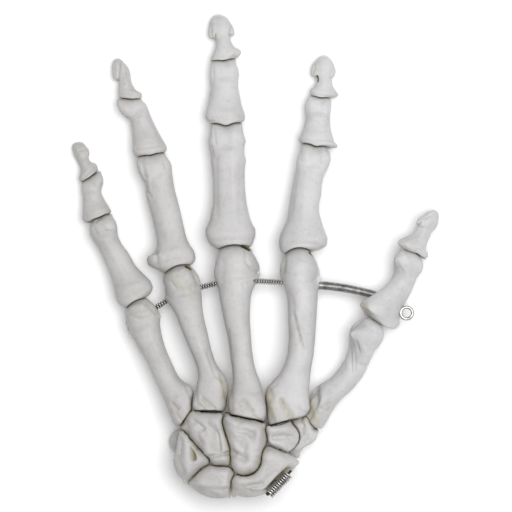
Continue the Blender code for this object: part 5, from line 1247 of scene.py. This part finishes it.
CLOUDS = {bone.name: points_of(bone) for bone in CASTS}
for bone in CASTS:
    own_points = CLOUDS[bone.name]
    hidden = 1 - np.clip(normals_of(bone)[:, 2], 0, 1)
    low, high = own_points.min(0) - DIRT_AND_SHADE_REACH, own_points.max(0) + DIRT_AND_SHADE_REACH
    near = np.concatenate([cloud[np.all((cloud > low) & (cloud < high), axis=1)]
                           for name, cloud in CLOUDS.items() if name != bone.name])
    dirt_and_shade = np.zeros(len(own_points))
    if len(near):
        tree = KDTree(len(near))
        for i, point in enumerate(near):
            tree.insert(point, i)
        tree.balance()
        low, high = near.min(0) - DIRT_AND_SHADE_REACH, near.max(0) + DIRT_AND_SHADE_REACH
        for i in np.flatnonzero(np.all((own_points > low) & (own_points < high), axis=1)):
            away = tree.find(own_points[i])[2]
            dirt_and_shade[i] = max(1 - away / DIRT_AND_SHADE_REACH, 0.0) ** DIRT_AND_SHADE_FADE
        edges = np.empty(len(bone.data.edges) * 2, np.int32)
        bone.data.edges.foreach_get("vertices", edges)
        for _ in range(DIRT_AND_SHADE_SPREAD):
            dirt_and_shade = (dirt_and_shade + around(dirt_and_shade, edges.reshape(-1, 2))) / 2
    dirt_and_shade *= np.where(own_points[:, 1] < WRIST_END, WRIST_DIRT_AND_SHADE, FINGER_DIRT_AND_SHADE)
    # faces that turn away from the open top get more of it, as painted shade
    dirt_and_shade *= DIRT_AND_SHADE_OPEN + SHADE_HIDDEN * hidden ** HIDDEN_FADE
    dirt_and_shade = np.clip(dirt_and_shade + SOIL_AND_SHADE[bone.name], 0, 1)
    layer = bone.data.attributes.new("dirt_and_shade", "FLOAT", "POINT")
    layer.data.foreach_set("value", dirt_and_shade.astype(np.float32))

# ---------------------------------------------------------------------------------------------
# Knuckle wire and its spacers: one wire runs through the four metacarpal heads and is bent over
# outside the little finger's. Three coil springs on it hold the heads apart.

KNUCKLE_WIRE_RADIUS = 0.0005
SPACER = {"wire_radius": 0.00026, "coil_radius": 0.00098}
SPACER_PITCH = 0.00098
BENT_END = ((127.6, 324.5), (127.3, 319.5), (128.6, 316.6), (133, 314.3))
WIRE_SPOTS = ((153, 309.3), (166.5, 300.8), (200, 287.6), (217.5, 282.8), (254.5, 281.2),
              (281, 282.3), (300, 283), (319.5, 285))
SPACER_SPOTS = {"little_ring": ((152, 310), (167.5, 300.2)),
                "ring_middle": ((199.5, 287.7), (219, 282.4)),
                "middle_index": ((254.5, 281), (281.5, 282.4))}
COIL_STEPS, COIL_FACETS = 18, 8      # points on a turn of a coil, and round its wire
WIRE_STEPS, WIRE_FACETS = 40, 12     # and along a plain wire and round it
BENT_STEPS = 160
ARCH_TOP = (-0.0155, -0.001)         # the wire is highest between these, and at its thumb's end
TETHER_BELOW = 0.00175               # this much lower than the top of the tether
STEEL_FILM = (500.0, 3.0, 0.55)      # scale, detail and roughness of the tarnish
FILM_DULLS = 0.16


def steel_finish(name, dark, bright, rough):
    """Drawn spring steel: bright metal with a thin film of tarnish in patches of 2 mm."""
    finish, tree = new_finish(name)
    place = add_node(tree, "ShaderNodeTexCoord").outputs["Object"]
    scale, detail, roughness = STEEL_FILM
    film = add_node(tree, "ShaderNodeTexNoise", None,
                    {"Vector": place, "Scale": scale, "Detail": detail,
                     "Roughness": roughness}).outputs["Fac"]
    shine = add_node(tree, "ShaderNodeMapRange", None,
                     {"Value": film, "To Min": rough, "To Max": rough + FILM_DULLS})
    tone = add_node(tree, "ShaderNodeValToRGB", None, {"Fac": film},
                    ((0.32, dark), (0.62, bright)))
    shader = add_node(tree, "ShaderNodeBsdfPrincipled", None,
                      {"Base Color": tone.outputs["Color"], "Metallic": 1.0,
                       "Roughness": shine.outputs["Result"]})
    add_node(tree, "ShaderNodeOutputMaterial", None, {"Surface": shader.outputs["BSDF"]})
    return finish


BRIGHT_STEEL = steel_finish("bright_drawn_spring_steel", "#A3A2A0", "#DCDBD9", 0.24)
DULLED_STEEL = steel_finish("dulled_spring_steel", "#8E8D8C", "#CBCAC8", 0.24)
BROWNED_STEEL = steel_finish("browned_steel_wire", "#2B2620", "#4A443C", 0.45)


def wound_wire():
    """Geometry nodes: a round wire that follows a path, wound round it Turns times."""
    tree = bpy.data.node_groups.new("wound_wire", "GeometryNodeTree")
    for name, kind in (("Path", "NodeSocketGeometry"), ("Wire Radius", "NodeSocketFloat"),
                       ("Coil Radius", "NodeSocketFloat"), ("Turns", "NodeSocketFloat"),
                       ("Steps", "NodeSocketInt"), ("Facets", "NodeSocketInt"),
                       ("Finish", "NodeSocketMaterial")):
        tree.interface.new_socket(name, in_out="INPUT", socket_type=kind)
    tree.interface.new_socket("Wire", in_out="OUTPUT", socket_type="NodeSocketGeometry")
    given = tree.nodes.new("NodeGroupInput").outputs
    path = add_node(tree, "GeometryNodeMeshToCurve", None, {"Mesh": given["Path"]})
    even = add_node(tree, "GeometryNodeResampleCurve", None,
                    {"Curve": path.outputs["Curve"], "Count": given["Steps"]})
    share = add_node(tree, "GeometryNodeSplineParameter").outputs["Factor"]
    turned = add_node(tree, "ShaderNodeMath", {"operation": "MULTIPLY"},
                      {0: share, 1: given["Turns"]})
    angle = add_node(tree, "ShaderNodeMath", {"operation": "MULTIPLY"},
                     {0: turned.outputs["Value"], 1: 2 * math.pi})
    tangent = add_node(tree, "GeometryNodeInputTangent").outputs["Tangent"]
    normal = add_node(tree, "GeometryNodeInputNormal").outputs["Normal"]
    radial = add_node(tree, "ShaderNodeVectorRotate", {"rotation_type": "AXIS_ANGLE"},
                      {"Vector": normal, "Axis": tangent, "Angle": angle.outputs["Value"]})
    offset = add_node(tree, "ShaderNodeVectorMath", {"operation": "SCALE"},
                      {0: radial.outputs["Vector"], "Scale": given["Coil Radius"]})
    coil = add_node(tree, "GeometryNodeSetPosition", None,
                    {"Geometry": even.outputs["Curve"], "Offset": offset.outputs["Vector"]})
    round_wire = add_node(tree, "GeometryNodeCurvePrimitiveCircle", None,
                          {"Resolution": given["Facets"], "Radius": given["Wire Radius"]})
    swept = add_node(tree, "GeometryNodeCurveToMesh", None,
                     {"Curve": coil.outputs["Geometry"],
                      "Profile Curve": round_wire.outputs["Curve"], "Fill Caps": True})
    smooth = add_node(tree, "GeometryNodeSetShadeSmooth", None,
                      {"Geometry": swept.outputs["Mesh"]})
    real = add_node(tree, "GeometryNodeRealizeInstances", None,
                    {"Geometry": smooth.outputs["Geometry"]})
    painted = add_node(tree, "GeometryNodeSetMaterial", None,
                       {"Geometry": real.outputs["Geometry"], "Material": given["Finish"]})
    add_node(tree, "NodeGroupOutput", None, {"Wire": painted.outputs["Geometry"]})
    return tree


WOUND_WIRE = wound_wire()


def strung(name, path, finish, **sizes):
    """Plain mesh of a wire or spring along a path of points."""
    line = bpy.data.meshes.new(name + "_path")
    line.from_pydata([tuple(q) for q in path], [(i, i + 1) for i in range(len(path) - 1)], [])
    worked = bpy.data.objects.new(name + "_path", line)
    bpy.context.scene.collection.objects.link(worked)
    winding = worked.modifiers.new("winding", "NODES")
    winding.node_group = WOUND_WIRE
    given = {"Coil Radius": 0.0, "Turns": 0.0, "Steps": WIRE_STEPS, "Facets": WIRE_FACETS,
             "Finish": finish}
    given.update({key.replace("_", " ").title(): value for key, value in sizes.items()})
    for socket in WOUND_WIRE.interface.items_tree:
        if socket.in_out == "INPUT" and socket.name in given:
            winding[socket.identifier] = given[socket.name]
    bpy.context.view_layer.update()
    real = bpy.data.meshes.new_from_object(
        worked.evaluated_get(bpy.context.evaluated_depsgraph_get()))
    real.name = name
    bpy.data.objects.remove(worked)
    piece = bpy.data.objects.new(name, real)
    bpy.context.scene.collection.objects.link(piece)
    return piece


wire_low, wire_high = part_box("knuckle_wire")
LOW_END = wire_low.z + KNUCKLE_WIRE_RADIUS
HIGH_END = wire_high.z - KNUCKLE_WIRE_RADIUS


def on_wire(spot):
    """Place on the knuckle wire above a pixel; it arches over the middle finger."""
    x, y = plan(*spot)
    arch = ((wire_low.x, LOW_END), (ARCH_TOP[0], HIGH_END), (ARCH_TOP[1], HIGH_END),
            (wire_high.x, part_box("thumb_tether_spring")[1].z - TETHER_BELOW))
    return Vector((x, y, float(np.interp(x, *zip(*arch)))))


ends = [on_wire(spot) for spot in BENT_END + WIRE_SPOTS]
wire = strung("knuckle_wire_bent", ends, BROWNED_STEEL, wire_radius=KNUCKLE_WIRE_RADIUS,
              steps=BENT_STEPS)
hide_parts("knuckle_wire")
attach(wire, "palm")
for gap, spots in SPACER_SPOTS.items():
    a, b = (on_wire(spot) for spot in spots)
    turns = round((b - a).length / SPACER_PITCH)
    spring = strung(gap + "_spacer", (a, b), BRIGHT_STEEL, turns=turns,
                    steps=turns * COIL_STEPS, facets=COIL_FACETS, **SPACER)
    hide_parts(gap + "_spacer_spring")
    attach(spring, "palm")

# ---------------------------------------------------------------------------------------------
# Tether: a close-wound spring over a wire, from the index metacarpal to the thumb, made as two
# halves that meet edge to edge.

TETHER_WIRE_RADIUS = 0.0005
TETHER = {"wire_radius": 0.00021, "coil_radius": 0.00152}
TETHER_PITCH = 0.00042
TETHER_SPOTS = ((318.5, 285.3), (346, 288.4), (375, 295.2))
TETHER_RISE = 0.0006                 # its middle stands this far above its ends' mean height

low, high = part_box("thumb_tether_wire")
start, middle, end = (Vector((*plan(*spot), z)) for spot, z in zip(
    TETHER_SPOTS, (high.z - TETHER_WIRE_RADIUS, (low.z + high.z) / 2 + TETHER_RISE,
                   low.z + TETHER_WIRE_RADIUS)))
bow = [start * (1 - t) * (1 - 2 * t) + middle * 4 * t * (1 - t) + end * t * (2 * t - 1)
       for t in np.linspace(0, 1, 41)]
# The last two numbers are two points along a half
halves = (("near", bow[:21], "palm", "thumb_base", 0, 16),
          ("far", bow[20:], "thumb_base", "thumb_proximal", 4, 20))
for half, path, body, beyond, first, last in halves:
    length = sum((b - a).length for a, b in zip(path, path[1:]))
    turns = round(length / TETHER_PITCH)
    coil = strung("tether_spring_" + half, path, DULLED_STEEL, turns=turns,
                  steps=turns * COIL_STEPS, facets=COIL_FACETS, **TETHER)
    core = strung("tether_wire_" + half, path, DULLED_STEEL, wire_radius=TETHER_WIRE_RADIUS)
    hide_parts("thumb_tether_spring")
    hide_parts("thumb_tether_wire")
    for piece in (coil, core):
        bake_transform(piece)

# ---------------------------------------------------------------------------------------------
# Hanging eye: thick wire out of the thumb's proximal phalanx, bent twice round into a ring.

EYE_WIRE_RADIUS = 0.00062
EYE_RADIUS = 0.0023
EYE_SPOT = (406.5, 313)
EYE_TURNS = 1.9
EYE_RISE = 2.1                       # wire radii that it climbs in all of them
EYE_POINTS, EYE_STEPS, EYE_FACETS = 60, 200, 14
EYE_LEG = (393, 308.5)
EYE_START = 0.9                      # radians from the leg back to where the ring begins

low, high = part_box("hanging_eye")
height = (low.z + high.z) / 2
centre = Vector((*plan(*EYE_SPOT), 0.0))
leg = Vector((*plan(*EYE_LEG), height))
facing = math.atan2(leg.y - centre.y, leg.x - centre.x)
begin = facing - EYE_START
ring = []
for k in range(EYE_POINTS):
    share = k / (EYE_POINTS - 1)
    turn = begin + 2 * math.pi * EYE_TURNS * share
    rise = (share - 0.5) * EYE_RISE * EYE_WIRE_RADIUS
    ring.append(Vector((centre.x + EYE_RADIUS * math.cos(turn),
                        centre.y + EYE_RADIUS * math.sin(turn), height + rise)))
eye = strung("hanging_eye_ring", [leg, (leg + ring[0]) / 2] + ring, DULLED_STEEL,
             wire_radius=EYE_WIRE_RADIUS, steps=EYE_STEPS, facets=EYE_FACETS)
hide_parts("hanging_eye")
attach(eye, "thumb_proximal")

# ---------------------------------------------------------------------------------------------
# Wrist spring: it lies in the scaphoid's edge on a stout wire, where the forearm was hung.

WRIST_SPRING = {"wire_radius": 0.00032, "coil_radius": 0.00205}
WRIST_WIRE_RADIUS = 0.0005
WRIST_SPRING_TURNS = 11
WRIST_SPRING_SPOTS = ((268.8, 492), (288, 472.3))
WRIST_WIRE_SPOTS = ((266.5, 491), (267.6, 493.2), (288.5, 471.7), (291, 469))

low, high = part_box("wrist_spring_wire")
height = (low.z + high.z) / 2
a, b = (Vector((*plan(*spot), height)) for spot in WRIST_SPRING_SPOTS)
spring = strung("wrist_coil", (a, b), BRIGHT_STEEL, turns=WRIST_SPRING_TURNS,
                steps=WRIST_SPRING_TURNS * COIL_STEPS, facets=COIL_FACETS, **WRIST_SPRING)
core = strung("wrist_coil_wire", [Vector((*plan(*spot), height)) for spot in WRIST_WIRE_SPOTS],
              BROWNED_STEEL, wire_radius=WRIST_WIRE_RADIUS)
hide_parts("wrist_spring")
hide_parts("wrist_spring_wire")
for piece in (spring, core):
    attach(piece, "palm")

# ---------------------------------------------------------------------------------------------
# Link wires: a short steel wire in a bore of both bones strings each joint.

LINK_RADIUS = 0.00045
LINK_STEPS = 24
LINK_INSET = 0.6                     # its ends lie this share of a radius inside its box

for joint in frame["joints"]:
    name = joint["name"]
    low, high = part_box(name + "_link")
    middle = (low + high) / 2
    half = (high - low) / 2 - Vector((1, 1, 1)) * LINK_RADIUS * LINK_INSET
    toward = middle - HINGES[name][0]
    half = Vector(math.copysign(h, t) for h, t in zip(half, toward))
    near, far = middle - half, middle + half
    link = strung(name + "_link_wire", (near, far), BROWNED_STEEL, wire_radius=LINK_RADIUS,
                  steps=LINK_STEPS)
    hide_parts(name + "_link")
    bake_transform(link)

# ---------------------------------------------------------------------------------------------
# Pins and row wires of the wrist: steel, deep in the seams and brown with age.

for name, node in frame["nodes"].items():
    if not node.hide_render:
        node.data.materials.clear()
        node.data.materials.append(BROWNED_STEEL)

# ---------------------------------------------------------------------------------------------
# Table, lamp and camera: a pale table under a wide soft lamp, seen from straight above with a
# long lens, framed as in the photograph.


def pale_table():
    """Matt white paint, with clouds of tone that are hardly seen."""
    finish, tree = new_finish("pale_table_paint")
    place = add_node(tree, "ShaderNodeTexCoord").outputs["Object"]
    fleck = add_node(tree, "ShaderNodeTexNoise", None, {"Vector": place, "Scale": 8.0})
    tone = add_node(tree, "ShaderNodeValToRGB", None, {"Fac": fleck.outputs["Fac"]},
                    ((0.3, "#F7F7F7"), (0.7, "#FBFBFB")))
    shader = add_node(tree, "ShaderNodeBsdfPrincipled", None,
                      {"Base Color": tone.outputs["Color"], "Roughness": 0.9})
    add_node(tree, "ShaderNodeOutputMaterial", None, {"Surface": shader.outputs["BSDF"]})
    return finish


TABLE_HALF = 1.5
TABLE_TOP = -0.0002
table_mesh = bpy.data.meshes.new("table")
table_mesh.from_pydata([(x * TABLE_HALF, y * TABLE_HALF, TABLE_TOP)
                        for x, y in ((-1, -1), (1, -1), (1, 1), (-1, 1))], [], [(0, 1, 2, 3)])
table_mesh.materials.append(pale_table())
table = bpy.data.objects.new("table", table_mesh)
bpy.context.scene.collection.objects.link(table)


LAMP_PLACE, LAMP_SIZE, LAMP_POWER = (0.30, 0.13, 1.9), 1.5, 34.5
lamp_data = bpy.data.lights.new("overhead_lamp", "AREA")
lamp_data.shape = "DISK"
lamp_data.size = LAMP_SIZE
lamp_data.energy = LAMP_POWER
lamp = bpy.data.objects.new("overhead_lamp", lamp_data)
lamp.location = LAMP_PLACE
lamp.rotation_euler = (-Vector(LAMP_PLACE)).to_track_quat("-Z", "Y").to_euler()
bpy.context.scene.collection.objects.link(lamp)

ROOM_LIGHT = 0.35
world = bpy.data.worlds.new("studio")
world.use_nodes = True
room = world.node_tree.nodes["Background"].inputs
room["Color"].default_value = (1, 1, 1, 1)
room["Strength"].default_value = ROOM_LIGHT
bpy.context.scene.world = world
bpy.context.scene.view_settings.view_transform = "Standard"

PHOTO_WIDTH = 512
VIEW_WIDTH = PHOTO_WIDTH * PIXEL
VIEW_LEVEL = 0.008                   # the photograph's scale holds at this height of the hand
LENS, SENSOR = 0.320, 0.036
camera_data = bpy.data.cameras.new("camera")
camera_data.lens = LENS * 1000
camera_data.sensor_width = SENSOR * 1000
camera_data.clip_end = 20.0
camera = bpy.data.objects.new("camera", camera_data)
centre = plan(PHOTO_WIDTH / 2, PHOTO_WIDTH / 2)
camera.location = (centre.x, centre.y, VIEW_LEVEL + VIEW_WIDTH * LENS / SENSOR)
bpy.context.scene.collection.objects.link(camera)
bpy.context.scene.camera = camera
